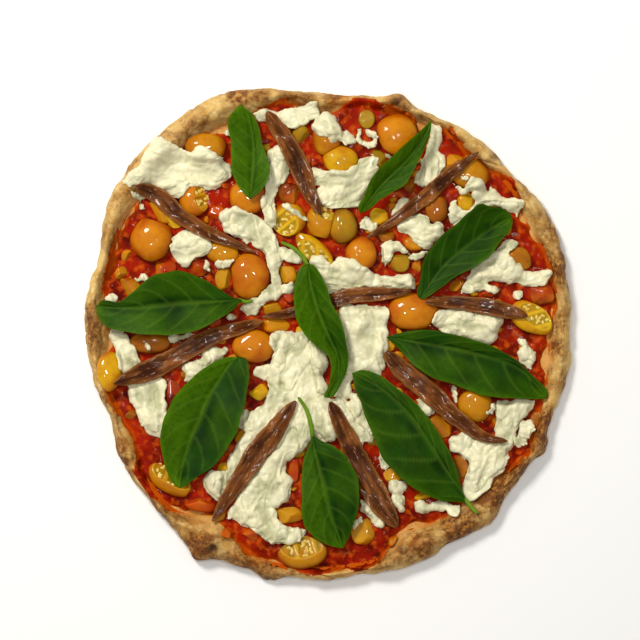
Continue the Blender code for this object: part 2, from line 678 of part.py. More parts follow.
def add_scraps(sauce):
    """Fuses the small scraps of tomato and cheese to the sauce."""
    loose = bpy.data.collections.new("scraps")
    bpy.context.scene.collection.children.link(loose)
    loose.hide_render = True
    meshes = [scrap_mesh(row, TOMATO_SCRAP_HEIGHT) for row in TOMATO_SCRAPS]
    meshes += [scrap_mesh((x, y, size, size, 0), CHEESE_SCRAP_HEIGHT) for x, y, size in CHEESE_SCRAPS]
    for mesh in meshes:
        loose.objects.link(bpy.data.objects.new("scrap", mesh))
    join = sauce.modifiers.new("join", "BOOLEAN")
    join.operation = "UNION"
    join.operand_type = "COLLECTION"
    join.collection = loose
    joined = evaluated(sauce)
    sauce.modifiers.clear()
    sauce.data = joined
    for scrap in list(loose.objects):
        bpy.data.objects.remove(scrap)
    bpy.data.collections.remove(loose)


def main():
    for old in list(bpy.data.objects):
        bpy.data.objects.remove(old)
    pizza = bpy.data.collections.new("margherita_pizza")
    bpy.context.scene.collection.children.link(pizza)
    pile = np.zeros((CELLS, CELLS))

    crust = add_piece("crust", crust_mesh(), material("baked dough", (0.60, 0.38, 0.18), 0.75), pizza)
    lay_down(pile, crust.data)
    sauce = add_piece("tomato_sauce", sauce_mesh(), material("sauce", (0.45, 0.02, 0.005), 0.3), pizza)
    lay_down(pile, sauce.data)
    bare = pile.copy()
    add_scraps(sauce)
    lay_down(pile, sauce.data)

    flesh = material("tomato", (0.80, 0.25, 0.01), 0.25)
    for number, tomato in enumerate(TOMATOES, 1):
        mesh = tomato_mesh(tomato)
        settle_stiff(bare, mesh, bends=False)
        lay_down(pile, mesh)
        add_piece(f"tomato_{number}", mesh, flesh, pizza)

    curd = material("fresh cheese", (0.85, 0.83, 0.68), 0.35)
    for name, strands in CHEESE.items():
        mesh = cheese_mesh(strands)
        settle_soft(pile, mesh)
        add_piece(name, mesh, curd, pizza)

    fish = material("cured fish", (0.16, 0.05, 0.025), 0.3)
    for number, route in enumerate(ANCHOVIES, 1):
        mesh = anchovy_mesh(route)
        settle_soft(pile, mesh)
        add_piece(f"anchovy_{number}", mesh, fish, pizza)

    green = material("basil", (0.04, 0.12, 0.01), 0.4)
    for number, midrib in enumerate(BASIL, 1):
        mesh = leaf_mesh(midrib, BASIL_FOLDS[number - 1], BASIL_ARCHES[number - 1])
        settle_stiff(pile, mesh, bends=True)
        lay_down(pile, mesh)
        add_piece(f"basil_{number}", mesh, green, pizza)


main()
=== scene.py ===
# %% [markdown]
# # A margherita pizza with anchovies
# The real thing is a stretched disc of dough with a puffed rim, tomato sauce, halved cherry
# tomatoes, torn fresh cheese, nine anchovy fillets and nine basil leaves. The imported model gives
# each of them as a plain solid. This lesson swaps every solid for a finely made surface in the
# same place, laid down in the cook's order, so that each topping rests on the ones below it.

# %% The frame
import math

import bpy
import numpy as np
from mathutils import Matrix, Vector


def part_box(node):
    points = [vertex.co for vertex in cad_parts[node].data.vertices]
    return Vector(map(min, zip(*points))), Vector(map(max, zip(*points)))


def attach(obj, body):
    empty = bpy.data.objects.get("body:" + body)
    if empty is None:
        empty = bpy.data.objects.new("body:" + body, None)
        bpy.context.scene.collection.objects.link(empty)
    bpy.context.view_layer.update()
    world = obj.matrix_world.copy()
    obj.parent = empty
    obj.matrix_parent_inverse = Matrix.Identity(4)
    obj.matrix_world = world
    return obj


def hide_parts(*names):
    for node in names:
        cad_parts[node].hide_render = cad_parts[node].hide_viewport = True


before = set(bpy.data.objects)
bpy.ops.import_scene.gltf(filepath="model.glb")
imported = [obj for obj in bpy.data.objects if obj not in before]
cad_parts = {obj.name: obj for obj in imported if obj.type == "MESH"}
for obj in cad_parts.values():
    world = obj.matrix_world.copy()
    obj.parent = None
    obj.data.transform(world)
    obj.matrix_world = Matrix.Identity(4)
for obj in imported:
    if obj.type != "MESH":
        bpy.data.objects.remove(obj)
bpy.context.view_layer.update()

MM = 0.001
draws = np.random.default_rng(20)
print("solids to dress:", len(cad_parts))

# %% [markdown]
# ## Sizes
# Places are read off the picture in its own pixels, because that is how the toppings were seen.
# One driving size, the pizza's real width, turns them into metres. Heights are in millimetres.
# The same values shape the solids, so the surfaces below meet them.

# %% Driving sizes
ACROSS = 0.293
PICTURE_ACROSS = 488
PICTURE_CENTRE = (328, 335)
PIXEL = ACROSS / PICTURE_ACROSS
BED_HEIGHT = 3.6 * MM
RIM_HEIGHT = 12.5 * MM
SAUCE_DEPTH = 1.8 * MM
ANCHOVY_DEPTH = 3.8 * MM
TOMATO_FLATNESS = 0.74


def place(x, y):
    """A picture pixel as a place on the pizza: metres right of and above its middle."""
    return np.stack([(np.asarray(x) - PICTURE_CENTRE[0]) * PIXEL,
                     (PICTURE_CENTRE[1] - np.asarray(y)) * PIXEL], axis=-1)


print("one pixel is", round(PIXEL / MM, 3), "mm")

# %% [markdown]
# ## Smooth lines and bumps
# Nearly every shape here is a few given values joined smoothly, plus unevenness. Splines in
# Blender could do the first and its textures the second. Two short functions do both on whole
# arrays at once, so that they can shape meshes of a hundred thousand points in a moment.

# %% Lines
def curve_between(before, here, there, after, part):
    """Catmull-Rom: the cubic from here to there whose slopes point from neighbour to neighbour."""
    bend = 2 * before - 5 * here + 4 * there - after
    twist = 3 * here - before - 3 * there + after
    return here + 0.5 * part * (there - before + part * (bend + part * twist))


def around(values, degrees):
    """A closed ring of evenly spaced values, read smoothly at any angle."""
    step = np.asarray(degrees) % 360 / 360 * len(values)
    first = np.floor(step).astype(int)
    ring = np.asarray(values, float)
    return curve_between(*(ring[(first + i) % len(ring)] for i in (-1, 0, 1, 2)), step - first)


def through(points, count):
    """A smooth line through a few rows of values, read at evenly spaced stations."""
    points = np.asarray(points, float)
    ends = np.vstack([2 * points[0] - points[1], points, 2 * points[-1] - points[-2]])
    at = np.linspace(0, len(points) - 1, count)
    first = np.minimum(at.astype(int), len(points) - 2)
    return curve_between(*(ends[first + i] for i in range(4)), (at - first)[:, None])


def lumps(rows, degrees):
    """Rounded lumps on a ring: each row holds an angle, a width and a size."""
    total = np.zeros(np.shape(degrees))
    for angle, width, size in rows:
        away = (np.asarray(degrees) - angle + 180) % 360 - 180
        total += size * np.exp(-((away / width) ** 2))
    return total


def ease(values, low, high):
    """0 below low, 1 above high, and t * t * (3 - 2t) between them."""
    part = np.clip((values - low) / (high - low), 0, 1)
    return part * part * (3 - 2 * part)


# %% Bumps
LATTICE = 64
lattice = np.random.default_rng(7).uniform(-1, 1, (LATTICE,) * 3)
# Turns space a little, so that rows of bumps never line up with the axes
SKEW = np.array([[0.80, 0.53, -0.28], [-0.60, 0.71, -0.37], [0.0, 0.46, 0.89]])
LAYER_SHIFT = 9.7
CREASE_SHARPNESS = 2.5


def bumps(points, size, layer=0):
    """Smooth bumps between -1 and 1: random values on a lattice of this size, blended by ease."""
    at = np.asarray(points, float) @ SKEW / size + LAYER_SHIFT * layer
    low = np.floor(at).astype(int)
    part = ease(at - low, 0, 1)
    total = np.zeros(at.shape[:-1])
    for corner in np.ndindex(2, 2, 2):
        weight = np.prod(np.where(corner, part, 1 - part), axis=-1)
        total += weight * lattice[tuple(np.moveaxis((low + corner) % LATTICE, -1, 0))]
    return total


def layered(points, rows):
    """Bumps of several sizes added up: each row holds a height, a size in metres and a layer."""
    return sum(height * bumps(points, size, layer) for height, size, layer in rows)


def creases(points, size, layer=0):
    """Sharp valleys between round ridges: 1 where bumps cross nothing, 0 on their tops."""
    return 1 - np.minimum(np.abs(bumps(points, size, layer)) * CREASE_SHARPNESS, 1)


print("bumps reach", round(float(np.abs(bumps(draws.uniform(0, 1, (4000, 3)), 0.01)).max()), 2))

# %% [markdown]
# ## Surfaces from rings
# A tomato, a fillet, a leaf and the crust have one thing in common: each is a closed skin that can
# be swept as a row of rings, like the coils of a clay pot, and shut by a fan at both ends. So one
# builder serves all. It takes the rings as an array and writes the mesh in one go. Masks and
# colours that a finish needs are kept on the points as attributes.

# %% The builder
def faces_of(rows, columns):
    """Four-sided faces between neighbouring rings, then a fan to a pole at either end."""
    here = np.arange(rows * columns).reshape(rows, columns)
    after = np.roll(here, -1, axis=1)
    quads = np.stack([here[:-1], after[:-1], after[1:], here[1:]], axis=-1).reshape(-1, 4)
    first = np.stack([np.full(columns, rows * columns), after[0], here[0]], axis=1)
    last = np.stack([np.full(columns, rows * columns + 1), here[-1], after[-1]], axis=1)
    return quads, np.vstack([first, last])


def with_poles(values):
    """The ring values of each part in a row, followed by the means of its end rings."""
    count, rows, columns = values.shape[:3]
    flat = values.reshape(count, rows * columns, -1)
    poles = np.stack([values[:, 0].mean(axis=1), values[:, -1].mean(axis=1)], axis=1)
    return np.concatenate([flat, poles.reshape(count, 2, -1)], axis=1).reshape(-1, flat.shape[-1])


def write_mesh(name, points, quads, fans):
    """A mesh from whole arrays: its points, then the corners and the first corner of each face."""
    mesh = bpy.data.meshes.new(name)
    mesh.vertices.add(len(points))
    mesh.vertices.foreach_set("co", np.asarray(points, np.float32).ravel())
    mesh.loops.add(quads.size + fans.size)
    mesh.loops.foreach_set("vertex_index", np.concatenate([quads.ravel(), fans.ravel()]).astype(np.int32))
    mesh.polygons.add(len(quads) + len(fans))
    starts = np.concatenate([np.arange(len(quads)) * 4, quads.size + np.arange(len(fans)) * 3])
    mesh.polygons.foreach_set("loop_start", starts.astype(np.int32))
    mesh.update(calc_edges=True)
    return mesh


def enclosed(points, quads):
    """The volume inside, from the tetrahedra between each face and the origin."""
    a, b, c, d = (points[quads[:, i]] for i in range(4))
    return float(np.sum(a * (np.cross(b, c) + np.cross(c, d)))) / 6


def ring_mesh(name, rings, values=None):
    """Rings shaped (rows, columns, 3), or a stack of such parts, as a closed mesh facing outwards."""
    parts = rings if rings.ndim == 4 else rings[None]
    count, rows, columns = parts.shape[:3]
    quads, fans = faces_of(rows, columns)
    points = with_poles(parts)
    if enclosed(points, quads) < 0:
        quads, fans = quads[:, ::-1], fans[:, ::-1]
    step = (rows * columns + 2) * np.arange(count)[:, None, None]
    mesh = write_mesh(name, points, (quads + step).reshape(-1, 4), (fans + step).reshape(-1, 3))
    for key, value in (values or {}).items():
        value = value if rings.ndim == 4 else value[None]
        keep(mesh, key, with_poles(value if value.ndim > 3 else value[..., None]))
    return mesh


def keep(mesh, key, values):
    """Keeps a number or a colour for each point, for the finish to read."""
    if values.shape[-1] == 3:
        kind, field = "FLOAT_VECTOR", "vector"
    else:
        kind, field = "FLOAT", "value"
    mesh.attributes.new(key, kind, "POINT").data.foreach_set(field, values.astype(np.float32).ravel())


def outward(rings):
    """The direction that each point of a ringed surface faces: across both of its grid lines."""
    along = np.gradient(rings, axis=0)
    beside = np.roll(rings, -1, axis=1) - np.roll(rings, 1, axis=1)
    facing = np.cross(beside, along)
    return facing / np.maximum(np.linalg.norm(facing, axis=-1, keepdims=True), 1e-12)


def add_piece(name, mesh, finish, slot, *nodes):
    """Puts a mesh in the scene, riding on the pizza and standing for its solids."""
    mesh.materials.append(finish)
    mesh.shade_smooth()
    piece = bpy.data.objects.new(name, mesh)
    bpy.context.scene.collection.objects.link(piece)
    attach(piece, "root")
    if nodes:
        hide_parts(*nodes)
    return piece


# %% [markdown]
# ## The pile
# Toppings lie on each other, and a physics simulation of sixty soft pieces would be slow. Instead
# the pile's height is kept as a map of small square cells. A piece reads the map under it, bends
# or leans to match, and then adds its own top to the map for whatever comes next.

# %% The map
CELL = 0.5 * MM
CELLS = 680
# Cells around a point whose height counts as under it, and metres that scale a fit's terms to 1
TOUCH = 2
FIT_REACH = 0.05
# Cells over which curd spans a dip: close to what it lies on, and between things that stand out
CURD_SPANS = (4, 11)


def cells_of(points):
    """The two indices of the cell that each point lies in."""
    index = np.clip(np.rint(points[..., :2] / CELL).astype(int) + CELLS // 2, 0, CELLS - 1)
    return index[..., 0], index[..., 1]


def shifts(height, reach, axis):
    """The map moved by each number of cells up to its reach, both ways along one axis."""
    return [np.roll(height, shift, axis) for shift in range(-reach, reach + 1)]


def highest_near(height, reach):
    """Each cell takes the greatest height in the square around it."""
    for axis in (0, 1):
        height = np.max(shifts(height, reach, axis), axis=0)
    return height


def blurred(height, reach):
    """Each cell takes the mean height of the square around it."""
    for axis in (0, 1):
        height = np.mean(shifts(height, reach, axis), axis=0)
    return height


def height_at(height, points):
    """The map's height under each point, blended between its four nearest cells."""
    at = np.clip(points[..., :2] / CELL + CELLS // 2, 0, CELLS - 2)
    low = at.astype(int)
    i, j = low[..., 0], low[..., 1]
    u, v = np.moveaxis(at - low, -1, 0)
    near = height[i, j] * (1 - v) + height[i, j + 1] * v
    far = height[i + 1, j] * (1 - v) + height[i + 1, j + 1] * v
    return near * (1 - u) + far * u


def with_top(pile, points):
    """The pile with a piece's top added. Cells between its points take their highest neighbour."""
    layer = np.zeros_like(pile)
    np.maximum.at(layer, cells_of(points), points[..., 2])
    layer = np.where(layer > 0, layer, highest_near(layer, 1))
    return np.maximum(pile, layer)


def fitted(pile, points, bends):
    """A plane, or a gently bent sheet, fitted to the pile under a piece, read at its points."""
    def terms(x, y):
        flat = [np.ones_like(x), x, y]
        return np.stack(flat + [x * x, x * y, y * y] if bends else flat, axis=-1)

    middle = points[..., :2].reshape(-1, 2).mean(axis=0)
    x, y = np.moveaxis((points[..., :2] - middle) / FIT_REACH, -1, 0)
    under = height_at(pile, points)
    answer = np.linalg.lstsq(terms(x.ravel(), y.ravel()), under.ravel(), rcond=None)[0]
    return terms(x, y) @ answer


def rested(rings, pile, bends, share):
    """A stiff piece laid down: it leans or bends as a whole, then rises until this share is clear."""
    laid = rings.copy()
    laid[..., 2] += fitted(pile, rings, bends)
    laid[..., 2] += np.quantile(height_at(pile, laid) - laid[..., 2], share)
    return laid


def draped(points, pile, blur):
    """A soft piece laid down: it rises with a smooth sheet that is spread over the pile."""
    laid = points.copy()
    laid[..., 2] += height_at(blurred(highest_near(pile, TOUCH), blur), points)
    return laid


def bridged(points, pile):
    """Soft curd laid down: it lies on whatever stands out, and spans the narrow dips between."""
    raised = highest_near(pile, TOUCH)
    sheet = np.maximum(*(blurred(raised, span) for span in CURD_SPANS))
    laid = points.copy()
    laid[..., 2] += height_at(sheet, points)
    return laid


def levelled(points, node):
    """Raises a laid piece until its top meets its solid's top. It is never lowered."""
    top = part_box(node)[1][2]
    return points + [0, 0, max(top - points[..., 2].max(), 0)]


print("cells across the map:", CELLS)

# %% [markdown]
# ## Finishes: the shared effects
# Food is never one flat colour. Two effects turn up in nearly every finish: blotches of a second
# colour, and fine relief that breaks up the shine. Each is built once as a node group with named
# inputs, and every material sets its own numbers on it.

# %% Nodes
def feed(tree, socket, value):
    """Links another node's output to a socket, or sets a plain value on it."""
    if isinstance(value, bpy.types.NodeSocket):
        tree.links.new(value, socket)
    else:
        socket.default_value = value


def add_node(tree, kind, inputs, **settings):
    """A shader node with its settings, and its inputs fed by name or by number."""
    made = tree.nodes.new(kind)
    for key, value in settings.items():
        setattr(made, key, value)
    for key, value in inputs.items():
        feed(tree, made.inputs[key], value)
    return made


def new_group(name, inputs, output):
    """An empty node group. Inputs map a name to a socket kind and a starting value."""
    group = bpy.data.node_groups.new(name, "ShaderNodeTree")
    for key, (kind, value) in inputs.items():
        socket = group.interface.new_socket(key, in_out="INPUT", socket_type="NodeSocket" + kind)
        if value is not None:
            socket.default_value = value
    group.interface.new_socket(output[0], in_out="OUTPUT", socket_type="NodeSocket" + output[1])
    return group, group.nodes.new("NodeGroupInput").outputs, group.nodes.new("NodeGroupOutput").inputs


def blotch_group():
    """Noise stretched between a low and a high level, as a mask of soft-edged blotches."""
    group, given, out = new_group("blotches", {
        "Vector": ("Vector", None), "Scale": ("Float", 100), "Detail": ("Float", 3),
        "Low": ("Float", 0.4), "High": ("Float", 0.6)}, ("Mask", "Float"))
    noise = add_node(group, "ShaderNodeTexNoise", {
        "Vector": given["Vector"], "Scale": given["Scale"], "Detail": given["Detail"]})
    spread = add_node(group, "ShaderNodeMapRange", {
        "Value": noise.outputs[0], "From Min": given["Low"], "From Max": given["High"]})
    feed(group, out["Mask"], spread.outputs[0])
    return group


def relief_group():
    """Fine noise read as height, with its depth in metres."""
    group, given, out = new_group("fine relief", {
        "Vector": ("Vector", None), "Scale": ("Float", 500), "Detail": ("Float", 4),
        "Depth": ("Float", 0.0002), "Strength": ("Float", 0.5)}, ("Normal", "Vector"))
    noise = add_node(group, "ShaderNodeTexNoise", {
        "Vector": given["Vector"], "Scale": given["Scale"], "Detail": given["Detail"]})
    bump = add_node(group, "ShaderNodeBump", {
        "Height": noise.outputs[0], "Distance": given["Depth"], "Strength": given["Strength"]})
    feed(group, out["Normal"], bump.outputs[0])
    return group


BLOTCHES = blotch_group()
RELIEF = relief_group()


def blotches(tree, vector, scale, low, high, detail=3.0):
    """The blotch group placed in a material. A larger scale gives smaller blotches."""
    made = add_node(tree, "ShaderNodeGroup", {}, node_tree=BLOTCHES)
    names = ("Vector", "Scale", "Detail", "Low", "High")
    for key, value in zip(names, (vector, scale, detail, low, high)):
        feed(tree, made.inputs[key], value)
    return made.outputs[0]


def relief(tree, vector, scale, depth, strength=0.5, detail=4.0):
    """The relief group placed in a material, as the normal that its shader takes."""
    made = add_node(tree, "ShaderNodeGroup", {}, node_tree=RELIEF)
    names = ("Vector", "Scale", "Detail", "Depth", "Strength")
    for key, value in zip(names, (vector, scale, detail, depth, strength)):
        feed(tree, made.inputs[key], value)
    return made.outputs[0]


def mixed(tree, mask, low, high):
    """One colour where the mask is 0, another where it is 1."""
    mix = add_node(tree, "ShaderNodeMix", {0: mask, 6: low, 7: high}, data_type="RGBA")
    return mix.outputs[2]


def times(tree, a, b):
    """One mask times another, or times a number."""
    return add_node(tree, "ShaderNodeMath", {0: a, 1: b}, operation="MULTIPLY").outputs[0]


def kept(tree, key, output="Fac"):
    """A number or vector that was kept on the points."""
    return add_node(tree, "ShaderNodeAttribute", {}, attribute_name=key).outputs[output]


def colour(red, green, blue):
    """A colour as seen on a screen, 0 to 255, in the linear values that a shader takes."""
    seen = np.array([red, green, blue]) / 255
    linear = np.where(seen <= 0.04045, seen / 12.92, ((seen + 0.055) / 1.055) ** 2.4)
    return (*(float(value) for value in linear), 1.0)


def new_finish(name, **sockets):
    """A material with constants on its own shader. Socket names are written with underscores."""
    finish = bpy.data.materials.new(name)
    finish.use_nodes = True
    tree = finish.node_tree
    shader = tree.nodes["Principled BSDF"]
    for key, value in sockets.items():
        shader.inputs[key.replace("_", " ")].default_value = value
    where = tree.nodes.new("ShaderNodeTexCoord").outputs["Object"]
    return finish, tree, shader.inputs, where


print("shared effects:", BLOTCHES.name, "and", RELIEF.name)

# %% [markdown]
# ## The dough
# Real crust is bread: a thin bed, and a rim that puffed in a hot oven, with soft bubbles, toasted
# patches on the bubbles' tops and a few burnt specks. It could be sculpted by hand or displaced in
# the shader. A profile turned about the middle is better here, because its width and height follow
# the picture all the way round, and real bumps on it show in outline as well.

# %% The rim's outline
# Radius in pixels every 10 degrees, anticlockwise from +X: the dough's outer edge, then the sauce's
DOUGH_EDGE = (
    243.5, 245, 251, 252, 246, 247, 246, 244.5, 244, 243, 250.7, 262,
    266, 263.5, 262.5, 254.5, 245.5, 245, 244, 240, 236.5, 241, 243, 248,
    252, 249, 245.5, 244.5, 241.5, 245.5, 240.5, 248, 240, 240.3, 239, 243.3,
)
SAUCE_EDGE = (
    222, 230, 231, 229, 236, 229, 234, 233, 234, 222, 235, 232,
    235, 232, 232, 234, 230, 227, 219, 227, 224, 219, 236, 231,
    210, 231, 234, 234, 234, 212, 214, 214, 221, 229, 223, 223,
)
# Lumps and tears of the outer edge: angle and width in degrees, reach in pixels
EDGE_LUMPS = (
    (73, 3, 6), (201, 4, -3), (239, 2.5, 8), (256, 3, 7), (332, 2.5, 6), (162, 4, -3),
)
# Puffs of the rim: angle and width in degrees, extra height in metres
RIM_PUFFS = (
    (20, 12, 0.0012), (52, 9, 0.0018), (73, 5, 0.0028), (98, 10, -0.0012), (125, 14, 0.0022),
    (160, 12, 0.0014), (188, 10, -0.0014), (207, 9, 0.0016), (239, 8, 0.0034), (262, 8, -0.0018),
    (292, 12, 0.0022), (318, 9, 0.0018), (338, 7, -0.0012),
)
# The rim from its inner foot over its crest to the ground: part of its width, part of its height
RIM_PROFILE = (
    (0, 0), (0.18, 0.4), (0.36, 0.8), (0.55, 1), (0.77, 0.87), (0.94, 0.58), (1, 0.3), (0.95, 0.07),
    (0.82, 0),
)
CREST_ROW = 3
LEAST_RIM = 13
COLUMNS = 900
BED_ROWS = 12
RIM_ROWS = 66
BELOW_ROWS = 14
# Rows over which the rim's bumps fade in at its foot, and out again towards the ground
FADE_IN = (12, 26)
FADE_OUT = (62, 74)
# A row on the rim's upper side
CREST_SAMPLE = 40


def dough_radius(degrees):
    """The outer edge: its evenly spaced radii read smoothly, with lumps and tears added."""
    return (around(DOUGH_EDGE, degrees) + lumps(EDGE_LUMPS, degrees)) * PIXEL


def bed_radius(degrees):
    """The foot of the rim, which stays wide enough to stand."""
    return np.minimum(around(SAUCE_EDGE, degrees) * PIXEL, dough_radius(degrees) - LEAST_RIM * PIXEL)


def rim_height(degrees):
    """The usual height, with puffs added and two fine ripples."""
    turn = np.radians(degrees)
    ripple = 0.0006 * np.sin(11 * turn + 1) + 0.0005 * np.sin(17 * turn + 4)
    return RIM_HEIGHT + lumps(RIM_PUFFS, degrees) + ripple


# %% The rim's surface
def crust_rings():
    """Rings from the middle of the bed out, over the rim by its profile, and back underneath."""
    degrees = np.linspace(0, 360, COLUMNS, endpoint=False)[None, :]
    inner, outer, top = bed_radius(degrees), dough_radius(degrees), rim_height(degrees)
    rows = through(RIM_PROFILE, RIM_ROWS)
    part, level = rows[:, :1], np.clip(rows[:, 1:], 0, None)
    rising = (np.arange(RIM_ROWS) <= CREST_ROW / (len(RIM_PROFILE) - 1) * (RIM_ROWS - 1))[:, None]
    rim_radius = inner + part * (outer - inner)
    rim_level = np.where(rising, BED_HEIGHT + level * (top - BED_HEIGHT), level * top)
    bed = np.linspace(0.02, 0.99, BED_ROWS)[:, None] * inner
    below = np.linspace(0.98, 0.02, BELOW_ROWS)[:, None] * rim_radius[-1]
    radius = np.concatenate([bed, rim_radius, below])
    height = np.concatenate([np.full_like(bed, BED_HEIGHT), rim_level, np.zeros_like(below)])
    turn = np.radians(degrees)
    return np.stack([radius * np.cos(turn), radius * np.sin(turn), height], axis=-1)


# Torn and burst places of the rim: place and reach in pixels, depth in metres
DENTS = (
    (214, 550, 5, 0.0035), (404, 549, 4, 0.0022), (452, 147, 9, 0.0012), (500, 184, 9, 0.001),
    (343, 104, 12, 0.0012), (150, 476, 9, 0.0014), (166, 518, 5, 0.0016), (118, 252, 10, 0.001),
)
# Bubbles of the rim: height in millimetres, size in metres, layer of bumps
BUBBLES = ((1.4, 15 * MM, 1), (0.75, 7 * MM, 2), (0.34, 2.6 * MM, 3))


def on_rim(rings):
    """1 on the rim's upper side, fading out at its inner foot and towards the ground."""
    rows = np.arange(rings.shape[0])[:, None]
    up = ease(rows, *FADE_IN) * (1 - ease(rows, *FADE_OUT))
    return np.broadcast_to(up, rings.shape[:2])


def near(points, x, y, reach):
    """A soft round mask about a place in the picture: exp(-(distance / reach) squared)."""
    away = np.linalg.norm(points[..., :2] - place(x, y), axis=-1) / (reach * PIXEL)
    return np.exp(-(away ** 2))


def puffed(rings):
    """Bubbles of three sizes and a few sharp creases, pushed out square to the skin."""
    size = layered(rings, BUBBLES) - creases(rings, 12 * MM, 4) ** 3
    size = size * MM - sum(depth * near(rings, x, y, reach) for x, y, reach, depth in DENTS)
    return rings + outward(rings) * (size * on_rim(rings))[..., None]


plain_rim = crust_rings()
crust = puffed(plain_rim)
# The grid's own way round decides which way the bumps went, so they are turned if they went in
if np.sum(outward(plain_rim)[CREST_SAMPLE, :, 2]) < 0:
    crust = 2 * plain_rim - crust
crust[..., 2] = np.maximum(crust[..., 2], 0)
print("crust height in mm:", round(float(crust[..., 2].max() / MM), 1))

# %% [markdown]
# ## Toast, char and stains on the dough
# The picture shows where the rim browned and where sauce ran over it. Painting those by hand would
# need an image. A short list of spots does it: each one is a soft round mask, broken up by bumps
# so that its edge is ragged, and the sum is kept on the points. A few broad, weak spots on the right
# side darken the rim there as painted shade, through the same toast colours.

# %% Toasted spots
# Place and reach in pixels, and strength. A strength below 0 keeps the dough pale there.
# The broad, weak spots at (566, 300) and (552, 235) are painted shade on the rim's right side.
TOAST_AND_SHADE_SPOTS = (
    (92, 332, 20, 0.5), (98, 274, 22, -0.8), (106, 226, 15, 0.4), (103, 392, 16, 0.5), (124, 456, 13, 0.8),
    (165, 516, 16, 0.8), (202, 546, 17, 1.0), (232, 94, 16, 0.7), (262, 97, 12, 0.6), (288, 100, 14, 0.7),
    (337, 99, 14, 0.8), (398, 104, 14, 1.0), (452, 131, 10, 0.5), (494, 156, 8, 0.6), (556, 264, 15, 0.7),
    (545, 300, 14, 0.5), (556, 350, 14, 0.4), (540, 430, 18, 0.8), (518, 466, 17, 0.8), (484, 500, 17, 0.9),
    (452, 530, 16, 0.8), (418, 548, 16, 0.9), (384, 562, 12, 0.6), (262, 572, 17, 0.8), (236, 560, 14, 0.7),
    (150, 500, 12, 0.5), (560, 385, 12, 0.5), (100, 262, 10, 0.3), (365, 98, 9, 0.5), (190, 125, 22, 0.25),
    (538, 438, 26, 0.5), (505, 484, 26, 0.5), (464, 524, 26, 0.5), (420, 548, 24, 0.4), (566, 300, 26, 0.3),
    (196, 540, 20, 0.4), (552, 235, 26, 0.3), (250, 566, 22, 0.3),
)
CHAR = (
    (396, 101, 6, 0.9), (451, 131, 4, 0.9), (457, 139, 4, 0.8), (504, 184, 5, 0.7), (214, 549, 7, 1.0),
    (165, 519, 5, 0.9), (404, 550, 6, 1.0), (495, 157, 4, 0.6), (120, 461, 5, 0.5), (98, 342, 5, 0.5),
    (336, 97, 4, 0.6), (530, 448, 5, 0.5), (476, 508, 5, 0.6), (268, 578, 6, 0.6), (91, 318, 5, 0.4),
)
STAINS = (
    (500, 183, 13, 1.0), (452, 145, 12, 0.8), (390, 100, 8, 0.5), (345, 103, 14, 0.9), (136, 438, 14, 0.8),
    (130, 300, 12, 0.4), (205, 520, 14, 0.6), (322, 566, 12, 1.0), (352, 570, 12, 0.7), (243, 540, 14, 0.6),
    (530, 400, 12, 0.4), (405, 546, 12, 0.5), (150, 470, 12, 0.9), (135, 205, 8, 0.5), (290, 104, 9, 0.4),
)


# Height, size in metres and layer of the bumps that fray each spot, and of those that brown first
FRAY = ((1, 7 * MM, 11), (0.5, 3 * MM, 12))
SWELLS = ((0.5, 11 * MM, 1), (0.25, 5 * MM, 2))


def spotted(points, spots):
    """The sum of soft round spots, each times its strength."""
    return sum(strength * near(points, x, y, reach) for x, y, reach, strength in spots)


def dough_masks(rings):
    """For each point, 0 to about 1: how toasted, burnt and stained it is, and if it lies beneath.
    The toast also holds painted shade on the rim's right side.
    """
    degrees = np.degrees(np.arctan2(rings[..., 1], rings[..., 0]))
    radius = np.hypot(rings[..., 0], rings[..., 1])
    beyond = (radius - bed_radius(degrees)) / MM
    ragged = layered(rings, FRAY)
    foot = 1 - ease(beyond + 1.8 * ragged, -0.5, 3.5)
    above = ease(rings[..., 2], 1 * MM, 3 * MM)
    raised = layered(rings, SWELLS)
    return {
        # Toast, with painted shade from the broad spots on the rim's right side
        "toast_and_shade": np.clip(1.2 * spotted(rings, TOAST_AND_SHADE_SPOTS) + raised * above + 0.4 * ragged, 0, 1.4),
        "char": spotted(rings, CHAR) * (0.8 + 0.5 * ragged) * above,
        "stain": np.clip(0.6 * foot + spotted(rings, STAINS) * (0.7 + 0.6 * ragged), 0, 1) * above,
        "under": 1 - above,
    }


masks = dough_masks(crust)
print("toasted share:", round(float((masks["toast_and_shade"] > 0.5).mean()), 2))

